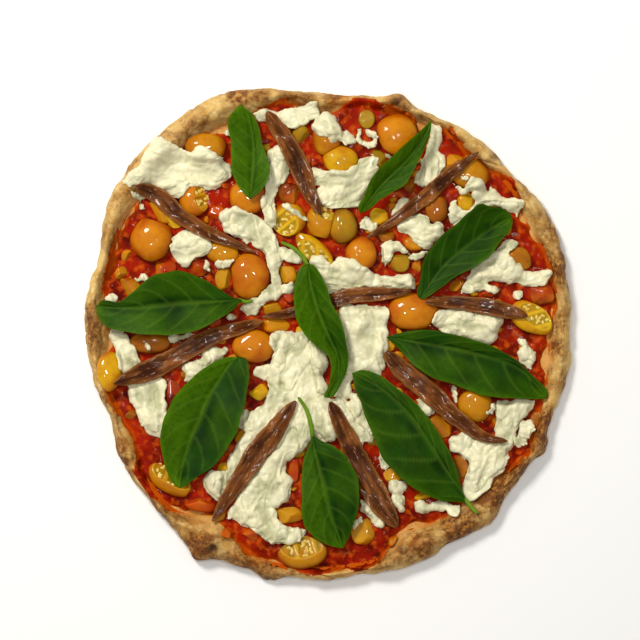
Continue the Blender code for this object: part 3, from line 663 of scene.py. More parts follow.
# %% The dough's finish
def dough_finish():
    """Pale crumb, gold where it rose, mottled brown where toasted and where painted shade darkens the
    right side, near black where charred.
    """
    finish, tree, sockets, where = new_finish(
        "baked dough", Roughness=0.68, Subsurface_Weight=0.08, Subsurface_Scale=0.003,
        Subsurface_Radius=(1.0, 0.5, 0.25), Specular_IOR_Level=0.25)
    pale = mixed(tree, blotches(tree, where, 110, 0.38, 0.62), colour(218, 182, 110), colour(188, 144, 70))
    pale = mixed(tree, blotches(tree, where, 420, 0.52, 0.74), pale, colour(228, 202, 142))
    # The toast mask also carries painted shade on the rim's right side
    toast_and_shade = kept(tree, "toast_and_shade")
    golden = mixed(tree, times(tree, toast_and_shade, 0.7), pale, colour(176, 118, 42))
    speckle = blotches(tree, where, 260, 0.34, 0.58, 5.0)
    toasted = mixed(tree, times(tree, toast_and_shade, speckle), golden, colour(118, 68, 20))
    flecks = times(tree, toast_and_shade, blotches(tree, where, 560, 0.52, 0.66, 2.0))
    toasted = mixed(tree, flecks, toasted, colour(86, 46, 12))
    stained = mixed(tree, times(tree, kept(tree, "stain"), 0.8), toasted, colour(204, 122, 28))
    burnt = mixed(tree, kept(tree, "char"), stained, colour(38, 20, 10))
    leopard = blotches(tree, where, 70, 0.52, 0.62, 4.0)
    base = mixed(tree, leopard, colour(206, 170, 116), colour(116, 70, 36))
    feed(tree, sockets["Base Color"], mixed(tree, kept(tree, "under"), burnt, base))
    feed(tree, sockets["Normal"], relief(tree, where, 700, 0.3 * MM, 0.7))
    return finish


crust_mesh = ring_mesh("crust_baked", crust, masks)
add_piece("crust_baked", crust_mesh, dough_finish(), "baked_dough", "crust")
pile = with_top(np.zeros((CELLS, CELLS)), crust)
print("crust faces:", len(crust_mesh.polygons))

# %% [markdown]
# ## The sauce
# Crushed tomato, spread with a spoon: a wet, lumpy film that creeps up the foot of the rim and
# thins out there, with oil that turns its edge orange. A flat disc would show a drawn line round
# its edge. Here the film lies on the map of the dough and dips under the skin where it runs out,
# so the dough itself cuts its ragged edge.

# %% The film
# Places where the sauce runs out over the rim: angle and width in degrees, reach in pixels
SPILLS = (
    (31, 2, -5), (40, 3, 7), (58, 3, 8), (66, 2, -8), (82, 5, 13), (94, 4, -6), (103, 4, 6), (116, 2, -6),
    (128, 5, 6), (180, 4, -6), (211, 3, 4), (218, 5, 14), (233, 2, -6), (243, 4, 9), (267, 4, 8),
    (278, 3, 9), (291, 4, -3), (306, 3, 7), (313, 3, -4), (330, 3, 3), (353, 3, -5),
)
FILM = 0.5 * MM
# How far the film reaches past the sauce's edge, and how much of the rim stays bare
OVERLAP = 2 * MM
BARE_RIM = 2.5 * MM
# Height in millimetres, size in metres and layer of the pulp's lumps and of the edge's rags
PULP = ((0.5, 9 * MM, 21), (0.42, 4.2 * MM, 22), (0.12, 2 * MM, 23))
RAGS = ((2.2, 9 * MM, 24), (1.3, 3.6 * MM, 25))


def sauce_rings(pile):
    """A disc from the middle out, its height the larger of the spoon's level and a film on the
    dough, and a plain underside that follows the dough back to the middle."""
    columns, rows, low_rows = 500, 172, 24
    degrees = np.linspace(0, 360, columns, endpoint=False)[None, :]
    turn = np.radians(degrees)
    edge = (around(SAUCE_EDGE, degrees) + lumps(SPILLS, degrees)) * PIXEL
    reach = np.minimum(edge + OVERLAP, dough_radius(degrees) - BARE_RIM)
    radius = np.linspace(0.004, 1, rows)[:, None] * reach
    top = np.stack([radius * np.cos(turn), radius * np.sin(turn), np.zeros_like(radius)], axis=-1)
    dough = height_at(blurred(pile, 1), top)
    pulp = layered(top, PULP) * MM
    level = BED_HEIGHT + SAUCE_DEPTH + pulp
    ragged = layered(top, RAGS) * MM
    thin = ease(radius - edge + ragged, -4 * MM, 1.5 * MM)
    film = FILM + 0.9 * pulp - thin * 1.3 * MM
    top[..., 2] = np.maximum(level - thin * 3 * MM, dough + film)
    low = top[::-1][np.linspace(2, rows - 1, low_rows).astype(int)].copy()
    low[..., 2] = np.minimum(height_at(blurred(pile, 1), low) - 0.2 * MM, low[..., 2] - 0.3 * MM)
    low[..., 2] = np.maximum(low[..., 2], 0)
    oil = np.concatenate([thin, np.ones((low_rows, columns))])
    wet = np.concatenate([pulp / MM, np.zeros((low_rows, columns))])
    return np.concatenate([top, low]), {"oil": oil, "pulp": wet}


def sauce_finish():
    """Deep red juice with brighter pulp in it, turning orange where oil gathers at the edge."""
    finish, tree, sockets, where = new_finish(
        "tomato sauce", Roughness=0.55, Coat_Weight=0.03, Coat_Roughness=0.04, Specular_IOR_Level=0.03)
    red = mixed(tree, blotches(tree, where, 90, 0.36, 0.6), colour(84, 8, 0), colour(154, 24, 0))
    red = mixed(tree, blotches(tree, where, 230, 0.5, 0.7), red, colour(190, 74, 6))
    lifted = mixed(tree, times(tree, kept(tree, "pulp"), 0.6), red, colour(176, 44, 2))
    oily = mixed(tree, times(tree, kept(tree, "oil"), 0.8), lifted, colour(196, 86, 8))
    feed(tree, sockets["Base Color"], oily)
    feed(tree, sockets["Normal"], relief(tree, where, 260, 0.3 * MM, 0.45))
    return finish


sauce, sauce_masks = sauce_rings(pile)
mesh = ring_mesh("sauce_spread", sauce, sauce_masks)
add_piece("sauce_spread", mesh, sauce_finish(), "sauce", "tomato_sauce")
pile = with_top(pile, sauce)
bare = pile.copy()
print("sauce top in mm:", round(float(sauce[..., 2].max() / MM), 1))

# %% [markdown]
# ## Cherry tomatoes
# Each is a half: a glossy dome of thin skin over juicy flesh, or a cut face with a pale wall and
# pockets of seeds. A sphere cut by a Boolean would give sharp, lifeless rims. Here a dome's points
# that lie beyond the knife's plane are pressed onto it, which keeps one closed skin, and a mask
# keeps which points the knife has met.

# %% Where the tomatoes lie
# Centre, half length and half width in pixels, turn in degrees
TOMATOES = (
    (206, 147, 21, 14, 0), (194, 200, 15, 17, 0), (152, 239, 21, 22, 0), (248, 197, 19, 17.5, 0),
    (222, 252, 17, 12, -10), (250, 276, 20, 23, 0), (150, 342, 21, 12, 0), (110, 371, 12.5, 20, 0),
    (254, 346, 22, 17, -10), (314, 250, 24, 11, -42), (289, 219, 18, 17, 0), (321, 221, 15, 18, 0),
    (343, 226, 14.5, 18, 0), (341, 160, 18, 15, -20), (327, 135, 15, 21, 0), (397, 134, 20, 21, 0),
    (469, 172, 21, 16, -25), (437, 209, 12, 14, 0), (361, 254, 16, 18, -30), (412, 312, 25, 19, 0),
    (531, 318, 24, 14.5, -30), (475, 405, 17.5, 17.5, 0), (302, 552, 25, 16.5, 0),
    (170, 480, 24, 13, -30),
)
# The same for small scraps in the sauce, with the name of their colour
TOMATO_SCRAPS = (
    (160, 213, 17, 9, -40, "orange"), (224, 279, 9, 12, 0, "amber"), (165, 268, 12, 10, 0, "red"),
    (131, 288, 15, 10, -15, "amber"), (275, 325, 15, 8, 0, "orange"), (271, 307, 10, 8, 0, "amber"),
    (287, 274, 10, 10, 0, "amber"), (380, 216, 9, 10, 0, "yellow"), (367, 119, 9, 10, 0, "olive"),
    (301, 134, 9, 9, 0, "olive"), (379, 158, 10, 10, 0, "olive"), (467, 202, 11, 10, 0, "yellow"),
    (414, 243, 12, 7, -25, "orange"), (400, 261, 10, 10, 0, "olive"), (493, 329, 10, 7, 0, "amber"),
    (439, 427, 11, 15, 30, "brown"), (461, 466, 9, 14, 10, "brown"), (423, 496, 9, 7, 0, "yellow"),
    (393, 476, 10, 8, 0, "amber"), (364, 531, 13, 14, 0, "amber"), (287, 514, 15, 10, 0, "amber"),
    (298, 450, 8, 9, 0, "olive"), (258, 391, 10, 9, 0, "yellow"), (519, 260, 13, 13, 0, "brown"),
    (541, 292, 13, 13, 0, "red"), (200, 502, 17, 9, -5, "coral"), (196, 268, 12, 8, 0, "red"),
    (217, 214, 8, 9, 0, "coral"), (291, 194, 15, 10, -30, "dark"), (264, 146, 7, 6, 0, "olive"),
    (387, 236, 9, 7, 0, "brown"), (458, 286, 9, 6, 0, "brown"), (173, 393, 8, 15, 0, "dark"),
    (243, 436, 9, 7, 30, "amber"), (172, 221, 10, 6, -30, "yellow"), (412, 186, 9, 7, 0, "brown"),
    (455, 160, 9, 7, 0, "orange"), (417, 266, 5, 7, 0, "orange"), (294, 470, 7, 12, 0, "red"),
    (266, 418, 7, 6, 0, "orange"), (225, 468, 7, 6, 0, "yellow"), (346, 450, 5, 9, 0, "amber"),
    (373, 440, 6, 9, 20, "olive"), (249, 536, 9, 8, 0, "coral"), (229, 532, 7, 6, 0, "coral"),
    (497, 305, 9, 6, 0, "amber"), (243, 372, 9, 12, 0, "olive"), (389, 345, 8, 7, 0, "amber"),
    (490, 292, 8, 6, 0, "red"), (283, 536, 8, 6, 0, "amber"), (353, 500, 6, 5, 0, "amber"),
)
# A berry's colour at its crown, painted lighter as light from above, then at its sides, painted deeper
# as shade
BERRY_LIT_AND_SHADED = {
    "orange": (colour(196, 118, 2), colour(170, 72, 0)),
    "yellow": (colour(206, 156, 4), colour(176, 102, 0)),
    "amber": (colour(188, 124, 4), colour(154, 74, 0)),
    "olive": (colour(160, 122, 10), colour(118, 70, 0)),
    "brown": (colour(156, 86, 6), colour(112, 48, 0)),
    "red": (colour(168, 38, 2), colour(114, 12, 0)),
    "coral": (colour(196, 82, 4), colour(162, 34, 0)),
    "dark": (colour(104, 12, 0), colour(66, 2, 0)),
}
# The colour of each where a knife has opened it
CUT_FLESH = {
    "orange": colour(200, 144, 24), "yellow": colour(216, 178, 30), "amber": colour(198, 150, 26),
    "olive": colour(172, 140, 30), "brown": colour(162, 100, 14), "red": colour(180, 62, 12),
}
# Each tomato's colour, then where a knife has cut it: the way the cut faces in degrees, how steeply
# it faces up, and how far out it lies, as a part of the tomato. None is an uncut dome.
TOMATO_LOOKS = (
    ("amber", None), ("orange", (15, 40, 0.5)), ("orange", None), ("orange", None),
    ("amber", None), ("orange", None), ("brown", None), ("yellow", None), ("orange", None),
    ("yellow", (-110, 62, 0.35)), ("yellow", (-140, 62, 0.4)), ("amber", (70, 35, 0.5)),
    ("olive", None), ("yellow", None), ("amber", None), ("orange", None), ("amber", None),
    ("brown", None), ("orange", None), ("orange", None), ("yellow", (30, 66, 0.4)),
    ("amber", None), ("amber", (100, 62, 0.4)), ("amber", (60, 50, 0.3)),
)
SEED_TINT = colour(232, 206, 110)
SEEDS_EACH = 16
SEED_SIZE = (1.5 * MM, 0.9 * MM, 0.8 * MM)
# How much squarer and how much more three-sided a berry is than an oval
SQUARENESS = 0.015
THREE_SIDEDNESS = 0.02
# Rings and points around each: a berry, a scrap and a seed
BERRY_GRID = (40, 84)
SCRAP_GRID = (16, 30)
SEED_GRID = (8, 12)
# In parts of a berry: the height that cuts are measured from, how deep its seed pockets are, and
# how often the walls between them come
KNIFE_HEIGHT = 0.3
POCKET_DEPTH = 0.14
WALLS = 4.2
# Berries nearer than this may press on each other, and keep this gap
NEIGHBOUR = 0.05
SKIN_GAP = 0.1 * MM

# %% The tomato's surface
def spun(points, degrees):
    """Points turned about Z, anticlockwise."""
    angle = math.radians(degrees)
    turn = np.array([[math.cos(angle), math.sin(angle)], [-math.sin(angle), math.cos(angle)]])
    return np.concatenate([points[..., :2] @ turn, points[..., 2:]], axis=-1)


def dome(rows, columns):
    """A half berry of radius 1 and height 1: rings from the crown down, and in under its cut.
    Going down, the height follows a cosine and the reach a sine, made a little fuller."""
    down = np.linspace(0.03, 0.97, rows)[:, None] * math.pi
    turn = np.linspace(0, 2 * math.pi, columns, endpoint=False)[None, :]
    level = np.cos(down)
    height = np.where(level > 0, 0.2 + 0.8 * level, 0.2 * (1 + level))
    spread = np.sin(down) ** 0.85
    return np.stack([spread * np.cos(turn), spread * np.sin(turn), height + 0 * turn], axis=-1)


def knifed(points, cut):
    """Presses what lies beyond the knife's plane onto it, and says how deep each point was."""
    facing, steep, out = cut
    flat, up = math.cos(math.radians(steep)), math.sin(math.radians(steep))
    normal = np.array([flat * math.cos(math.radians(facing)), flat * math.sin(math.radians(facing)), up])
    middle = np.array([0, 0, KNIFE_HEIGHT])
    beyond = np.maximum((points - middle) @ normal - out, 0)
    return points - beyond[..., None] * normal, beyond


def pocketed(points, met, facing):
    """Sinks two or three seed pockets into a cut face, with walls of flesh between them."""
    way = math.radians(facing)
    across = points[..., 0] * math.sin(way) - points[..., 1] * math.cos(way)
    wall = np.abs(np.sin(across * WALLS + 0.8))
    depth = ease(met, 0.04, 0.16) * ease(wall, 0.25, 0.6)
    sunk = points.copy()
    sunk[..., 2] -= POCKET_DEPTH * depth
    return sunk, depth


def across(tomato, direction):
    """How far a tomato's oval reaches in a direction given in radians."""
    long, wide, turn = tomato[2:5]
    angle = direction - math.radians(turn)
    return PIXEL * math.hypot(long * math.cos(angle), wide * math.sin(angle))


def kept_apart(points, tomato, others):
    """Presses a tomato or scrap flat where it meets a neighbour, halfway by size."""
    here = place(*tomato[:2])
    for other in others:
        offset = place(*other[:2]) - here
        distance = np.hypot(*offset)
        if other is tomato or distance > NEIGHBOUR:
            continue
        direction = math.atan2(offset[1], offset[0])
        own, its = across(tomato, direction), across(other, direction)
        limit = distance * own / (own + its) - SKIN_GAP
        along = (points[..., :2] - here) @ (offset / distance)
        points[..., :2] -= np.maximum(along - limit, 0)[..., None] * offset / distance
    return points


def berry_tint_lit_and_shaded(points, name, seed):
    """The crown's lighter colour, painted light, turns low down the sides to the deeper one, painted
    shade, with soft uneven patches.
    """
    crown, side = (np.array(tone[:3]) for tone in BERRY_LIT_AND_SHADED[name])
    low, high = points[..., 2].min(), points[..., 2].max()
    share = ease((points[..., 2] - low) / (high - low) + 0.6 * bumps(points, 8 * MM, seed), 0.1, 1.0)
    return side + (crown - side) * share[..., None]


def tomato_rings(tomato, look, seed):
    """A dome scaled to the tomato's oval, dented a little, cut, turned and put in its place."""
    x, y, long, wide, turn = tomato
    name, cut = look
    points = dome(*BERRY_GRID)
    turned = np.arctan2(points[..., 1], points[..., 0]) + seed
    round_out = 1 + SQUARENESS * np.cos(4 * turned) + THREE_SIDEDNESS * np.cos(3 * turned)
    points[..., :2] *= round_out[..., None]
    points *= 1 + 0.06 * bumps(points + 3 * seed, 0.75, seed)[..., None]
    met = np.zeros(points.shape[:-1])
    pocket = met
    if cut:
        facing = (cut[0] - turn, cut[1], cut[2])
        points, met = knifed(points, facing)
        points, pocket = pocketed(points, met, facing[0])
    points *= np.array([long, wide, TOMATO_FLATNESS * min(long, wide)]) * PIXEL
    points = spun(points, turn)
    points[..., :2] += place(x, y)
    open_face = ease(met, 0.01, 0.05)
    flesh = np.array(CUT_FLESH[name][:3])
    tint = berry_tint_lit_and_shaded(points, name, seed)
    tint = tint + (flesh - tint) * open_face[..., None]
    # Painted shade: the sunken seed pockets are darkened
    tint = tint * (1 - 0.45 * pocket[..., None])
    return kept_apart(points, tomato, (*TOMATOES, *TOMATO_SCRAPS)), {"tint": tint, "pocket": pocket}


def seed_rings(rings, pocket):
    """Small flat seeds laid on random points of a tomato's seed pockets, each turned its own way."""
    wet = rings[pocket > 0.8]
    if len(wet) == 0:
        return []
    made = []
    for spot in wet[draws.integers(0, len(wet), SEEDS_EACH)]:
        seed = dome(*SEED_GRID) * np.array(SEED_SIZE)
        made.append(spun(seed, draws.uniform(0, 360)) + spot - [0, 0, 0.2 * MM])
    return made


def tomato_finish():
    """Wet skin over flesh that glows: the point's own colour with painted light on its crown and painted
    shade on its sides, light let in, and a clear coat.
    """
    finish, tree, sockets, where = new_finish(
        "cherry tomato", Roughness=0.45, Subsurface_Weight=0.15, Subsurface_Scale=0.003,
        Subsurface_Radius=(1.0, 0.45, 0.05), Coat_Weight=0.4, Coat_Roughness=0.02, Specular_IOR_Level=0.06)
    tint = kept(tree, "tint", "Color")
    streak = times(tree, blotches(tree, where, 240, 0.45, 0.72), 0.4)
    glow = times(tree, blotches(tree, where, 75, 0.5, 0.7), 0.4)
    streaked = mixed(tree, streak, tint, colour(164, 74, 0))
    feed(tree, sockets["Base Color"], mixed(tree, glow, streaked, colour(222, 150, 6)))
    feed(tree, sockets["Normal"], relief(tree, where, 200, 0.25 * MM, 0.3))
    return finish


TOMATO_FLESH = tomato_finish()
# How much of a berry is clear of what it lies on when it has come to rest
BERRY_CLEAR = 0.93
seeds = []
for number, (tomato, look) in enumerate(zip(TOMATOES, TOMATO_LOOKS), 1):
    rings, tomato_masks = tomato_rings(tomato, look, number)
    rings = levelled(rested(rings, bare, False, BERRY_CLEAR), f"tomato_{number}")
    seeds.extend(seed_rings(rings, tomato_masks["pocket"]))
    mesh = ring_mesh(f"tomato_half_{number}", rings, tomato_masks)
    add_piece(mesh.name, mesh, TOMATO_FLESH, "tomato", f"tomato_{number}")
    pile = with_top(pile, rings)
print("tomatoes:", len(TOMATOES))

# %% The seeds
seeds = np.stack(seeds)
seed_tints = np.broadcast_to(np.array(SEED_TINT[:3]), seeds.shape)
cut_tomatoes = [f"tomato_{number}" for number, look in enumerate(TOMATO_LOOKS, 1) if look[1]]
mesh = ring_mesh("tomato_seeds", seeds, {"tint": seed_tints})
add_piece("tomato_seeds", mesh, TOMATO_FLESH, "tomato", *cut_tomatoes)
print("seeds:", len(seeds))

# %% [markdown]
# ## Scraps in the sauce
# Smaller bits of tomato are half sunk in the sauce, and are one solid with it. They are the same
# dome, made low and lumpier, with two flat faces from a knife, and joined in a single piece. Those
# that can be told apart in the picture lie where it shows them. A particle system could strew the
# finer ones between them, but the export drops particles, so random draws place real meshes.

# %% The scraps
TOMATO_SCRAP_HEIGHT = 4.2 * MM
SCRAP_LUMPS = 0.22
SCRAP_DRAPE = 6
SCRAP_SINK = 0.5 * MM
CRUMBS = 150
CRUMB_TRIES = 14 * CRUMBS
# Half length, and distance from the middle at most, in pixels
CRUMB_HALVES = (3.5, 8.5)
CRUMB_REACH = 218
CRUMB_TINTS = ("orange", "amber", "coral", "red", "brown", "yellow", "orange")


def crumbs():
    """Small chopped bits at random places on the sauce, clear of every berry and scrap."""
    made = []
    for _ in range(CRUMB_TRIES):
        angle = draws.uniform(0, 2 * math.pi)
        out = CRUMB_REACH * math.sqrt(draws.uniform())
        x, y = PICTURE_CENTRE[0] + out * math.cos(angle), PICTURE_CENTRE[1] - out * math.sin(angle)
        long = draws.uniform(*CRUMB_HALVES)
        clear = all(math.hypot(x - row[0], y - row[1]) > 0.8 * (max(row[2:4]) + long)
                    for row in (*TOMATOES, *TOMATO_SCRAPS, *made))
        if clear and len(made) < CRUMBS:
            tint = CRUMB_TINTS[draws.integers(len(CRUMB_TINTS))]
            made.append((x, y, long, long * draws.uniform(0.55, 0.95), draws.uniform(0, 180), tint))
    return made


def chopped(points, seed):
    """Two random cuts of a knife, so that a scrap has flat faces and edges like a chopped one."""
    turns = np.random.default_rng(seed)
    deepest = np.zeros(points.shape[:-1])
    for _ in range(2):
        cut = (turns.uniform(0, 360), turns.uniform(15, 75), turns.uniform(0.3, 0.55))
        points, met = knifed(points, cut)
        deepest = np.maximum(deepest, met)
    return points, ease(deepest, 0.02, 0.08)


def scrap_rings(scrap, height, seed):
    """A lumpy dome cut twice, scaled, turned, pressed off the berries and half sunk in the sauce."""
    x, y, long, wide, turn, name = scrap
    points = dome(*SCRAP_GRID)
    points *= 1 + SCRAP_LUMPS * bumps(points + 5 * seed, 0.8, seed)[..., None]
    points, open_face = chopped(points, seed)
    points *= np.array([long * PIXEL, wide * PIXEL, height])
    points = spun(points, turn)
    points[..., :2] += place(x, y)
    points = kept_apart(points, scrap, TOMATOES)
    skin = berry_tint_lit_and_shaded(points, name, seed)
    flesh = np.array(CUT_FLESH.get(name, CUT_FLESH["red"])[:3])
    tint = skin + 0.6 * (flesh - skin) * open_face[..., None]
    return draped(points, bare, SCRAP_DRAPE) - np.array([0, 0, SCRAP_SINK]), tint


rows = (*TOMATO_SCRAPS, *crumbs())
heights = TOMATO_SCRAP_HEIGHT * np.clip([row[2] / 9 for row in rows], 0.6, 1)
made = [scrap_rings(row, height, i) for i, (row, height) in enumerate(zip(rows, heights))]
scraps = np.stack([rings for rings, _ in made])
tints = np.stack([tint for _, tint in made])
mesh = ring_mesh("tomato_scraps", scraps, {"tint": tints})
add_piece("tomato_scraps", mesh, TOMATO_FLESH, "tomato", "tomato_sauce")
pile = with_top(pile, scraps)
print("scraps of tomato:", len(scraps))

# %% [markdown]
# ## Torn fresh cheese
# It is soft curd pulled apart by hand and dropped: flat torn lobes with folds that run the way they
# were pulled, wet with cream. One smooth blob would look like icing, and strands side by side look
# like noodles. So each patch is an outline filled with flattened balls, each as large as the edge
# near it allows. A Remesh modifier melts them into one skin, and folds are pressed into that skin
# before it is laid over the pile. Small bumps fray each outline first, since curd never tears
# along a clean line.

# %% The patches' outlines
# Each patch's torn edge, in pixels
CHEESE = {
    "cheese_upper_left": (
        (122, 184), (130, 173), (141, 165), (149, 147), (155, 137), (163, 139), (172, 147), (184, 151),
        (192, 155), (199, 149), (209, 150), (218, 158), (230, 164), (231, 176), (223, 182), (214, 190),
        (204, 188), (197, 184), (189, 186), (178, 199), (169, 193), (158, 187), (146, 184), (133, 187)),
    "cheese_left": (
        (174, 237), (184, 231), (196, 233), (207, 238), (214, 245), (210, 252), (199, 256), (191, 259),
        (184, 268), (179, 262), (173, 253)),
    "cheese_upper_middle": (
        (220, 217), (225, 210), (236, 208), (247, 212), (257, 216), (266, 224), (273, 234), (279, 246),
        (284, 247), (292, 250), (300, 256), (300, 263), (290, 262), (283, 258), (279, 268), (281, 285),
        (293, 284), (293, 291), (281, 294), (270, 299), (262, 306), (256, 315), (246, 316), (240, 309),
        (247, 303), (259, 297), (266, 289), (272, 284), (271, 270), (265, 258), (262, 252), (254, 243),
        (243, 240), (231, 235), (223, 227)),
    "cheese_top": (
        (254, 113), (265, 109), (278, 113), (294, 110), (308, 104), (316, 99), (319, 108), (318, 116),
        (308, 120), (297, 127), (289, 128), (281, 121), (270, 120), (258, 121)),
    "cheese_by_top_leaf": (
        (267, 150), (274, 146), (283, 147), (289, 157), (290, 172), (286, 179), (278, 184), (274, 197),
        (276, 212), (272, 222), (264, 212), (263, 200), (268, 190), (267, 170)),
    "cheese_under_tip": (
        (369, 155), (377, 158), (376, 166), (380, 171), (374, 182), (365, 193), (360, 205), (346, 207),
        (330, 207), (318, 202), (316, 192), (324, 186), (313, 183), (308, 176), (309, 168), (318, 168),
        (326, 172), (334, 172), (345, 172), (352, 168), (358, 162)),
    "cheese_upper_right": (
        (431, 125), (439, 126), (441, 139), (438, 150), (447, 160), (445, 168), (431, 186), (421, 187),
        (413, 178), (420, 169), (425, 148), (431, 134)),
    "cheese_right_ring": (
        (453, 182), (463, 188), (471, 177), (479, 179), (487, 192), (490, 184), (501, 196), (509, 198),
        (524, 201), (519, 217), (512, 212), (501, 206), (484, 205), (478, 210), (473, 217), (463, 223),
        (454, 227), (449, 216), (452, 203), (457, 200), (460, 212), (470, 210), (476, 200), (472, 190),
        (462, 192)),
    "cheese_right_lump": (
        (396, 225), (404, 218), (420, 214), (428, 219), (430, 225), (438, 223), (445, 231), (441, 239),
        (433, 243), (428, 249), (421, 246), (414, 239), (408, 232), (400, 231)),
    "cheese_band": (
        (334, 263), (341, 258), (351, 260), (364, 268), (380, 275), (396, 276), (413, 275), (417, 288),
        (396, 289), (377, 287), (364, 288), (348, 289), (334, 292), (322, 292), (313, 284), (310, 270),
        (313, 256), (322, 257), (330, 268)),
    "cheese_middle": (
        (339, 308), (350, 303), (366, 306), (384, 306), (388, 316), (386, 330), (388, 345), (383, 353),
        (385, 366), (378, 377), (366, 377), (356, 371), (350, 382), (352, 392), (362, 400), (370, 412),
        (376, 428), (371, 438), (364, 430), (357, 420), (350, 410), (341, 404), (335, 396), (336, 386),
        (345, 374), (347, 360), (341, 345), (338, 325)),
    "cheese_right": (
        (509, 238), (520, 241), (519, 247), (508, 253), (516, 262), (524, 270), (533, 273), (548, 270),
        (552, 275), (544, 284), (530, 285), (508, 283), (493, 279), (486, 283), (500, 291), (495, 295),
        (484, 288), (471, 293), (459, 293), (467, 279), (478, 263), (492, 254)),
    "cheese_right_of_middle": (
        (438, 314), (450, 309), (470, 311), (490, 310), (502, 316), (500, 325), (495, 338), (488, 345),
        (474, 340), (458, 333), (436, 330), (433, 322)),
    "cheese_lower_left": (
        (270, 336), (277, 331), (292, 334), (303, 331), (310, 341), (319, 352), (324, 365), (322, 380),
        (325, 392), (330, 400), (338, 404), (339, 436), (326, 440), (312, 437), (304, 449), (287, 460),
        (284, 473), (292, 483), (289, 497), (272, 508), (276, 519), (288, 526), (306, 531), (300, 542),
        (281, 544), (266, 540), (255, 529), (240, 522), (228, 517), (229, 511), (236, 499), (247, 486),
        (260, 468), (267, 457), (275, 446), (266, 440), (258, 447), (248, 462), (240, 470), (236, 490),
        (224, 498), (212, 494), (206, 488), (212, 478), (226, 470), (232, 455), (238, 445), (246, 432),
        (240, 424), (243, 412), (255, 411), (262, 403), (268, 395), (268, 381), (255, 376), (257, 368),
        (271, 365), (276, 352)),
    "cheese_far_left": (
        (110, 330), (123, 332), (129, 342), (136, 354), (141, 366), (146, 378), (160, 377), (165, 382),
        (163, 395), (166, 407), (168, 422), (161, 438), (149, 433), (142, 422), (136, 409), (130, 396),
        (128, 384), (122, 368), (118, 356), (113, 342)),
    "cheese_lower_right": (
        (493, 400), (510, 401), (535, 400), (533, 409), (528, 414), (519, 422), (514, 438), (511, 446),
        (508, 457), (503, 468), (492, 479), (485, 491), (469, 499), (462, 492), (465, 483), (469, 473),
        (468, 460), (460, 452), (450, 451), (449, 441), (460, 432), (477, 438), (493, 436), (498, 440),
        (495, 428), (497, 416)),
}
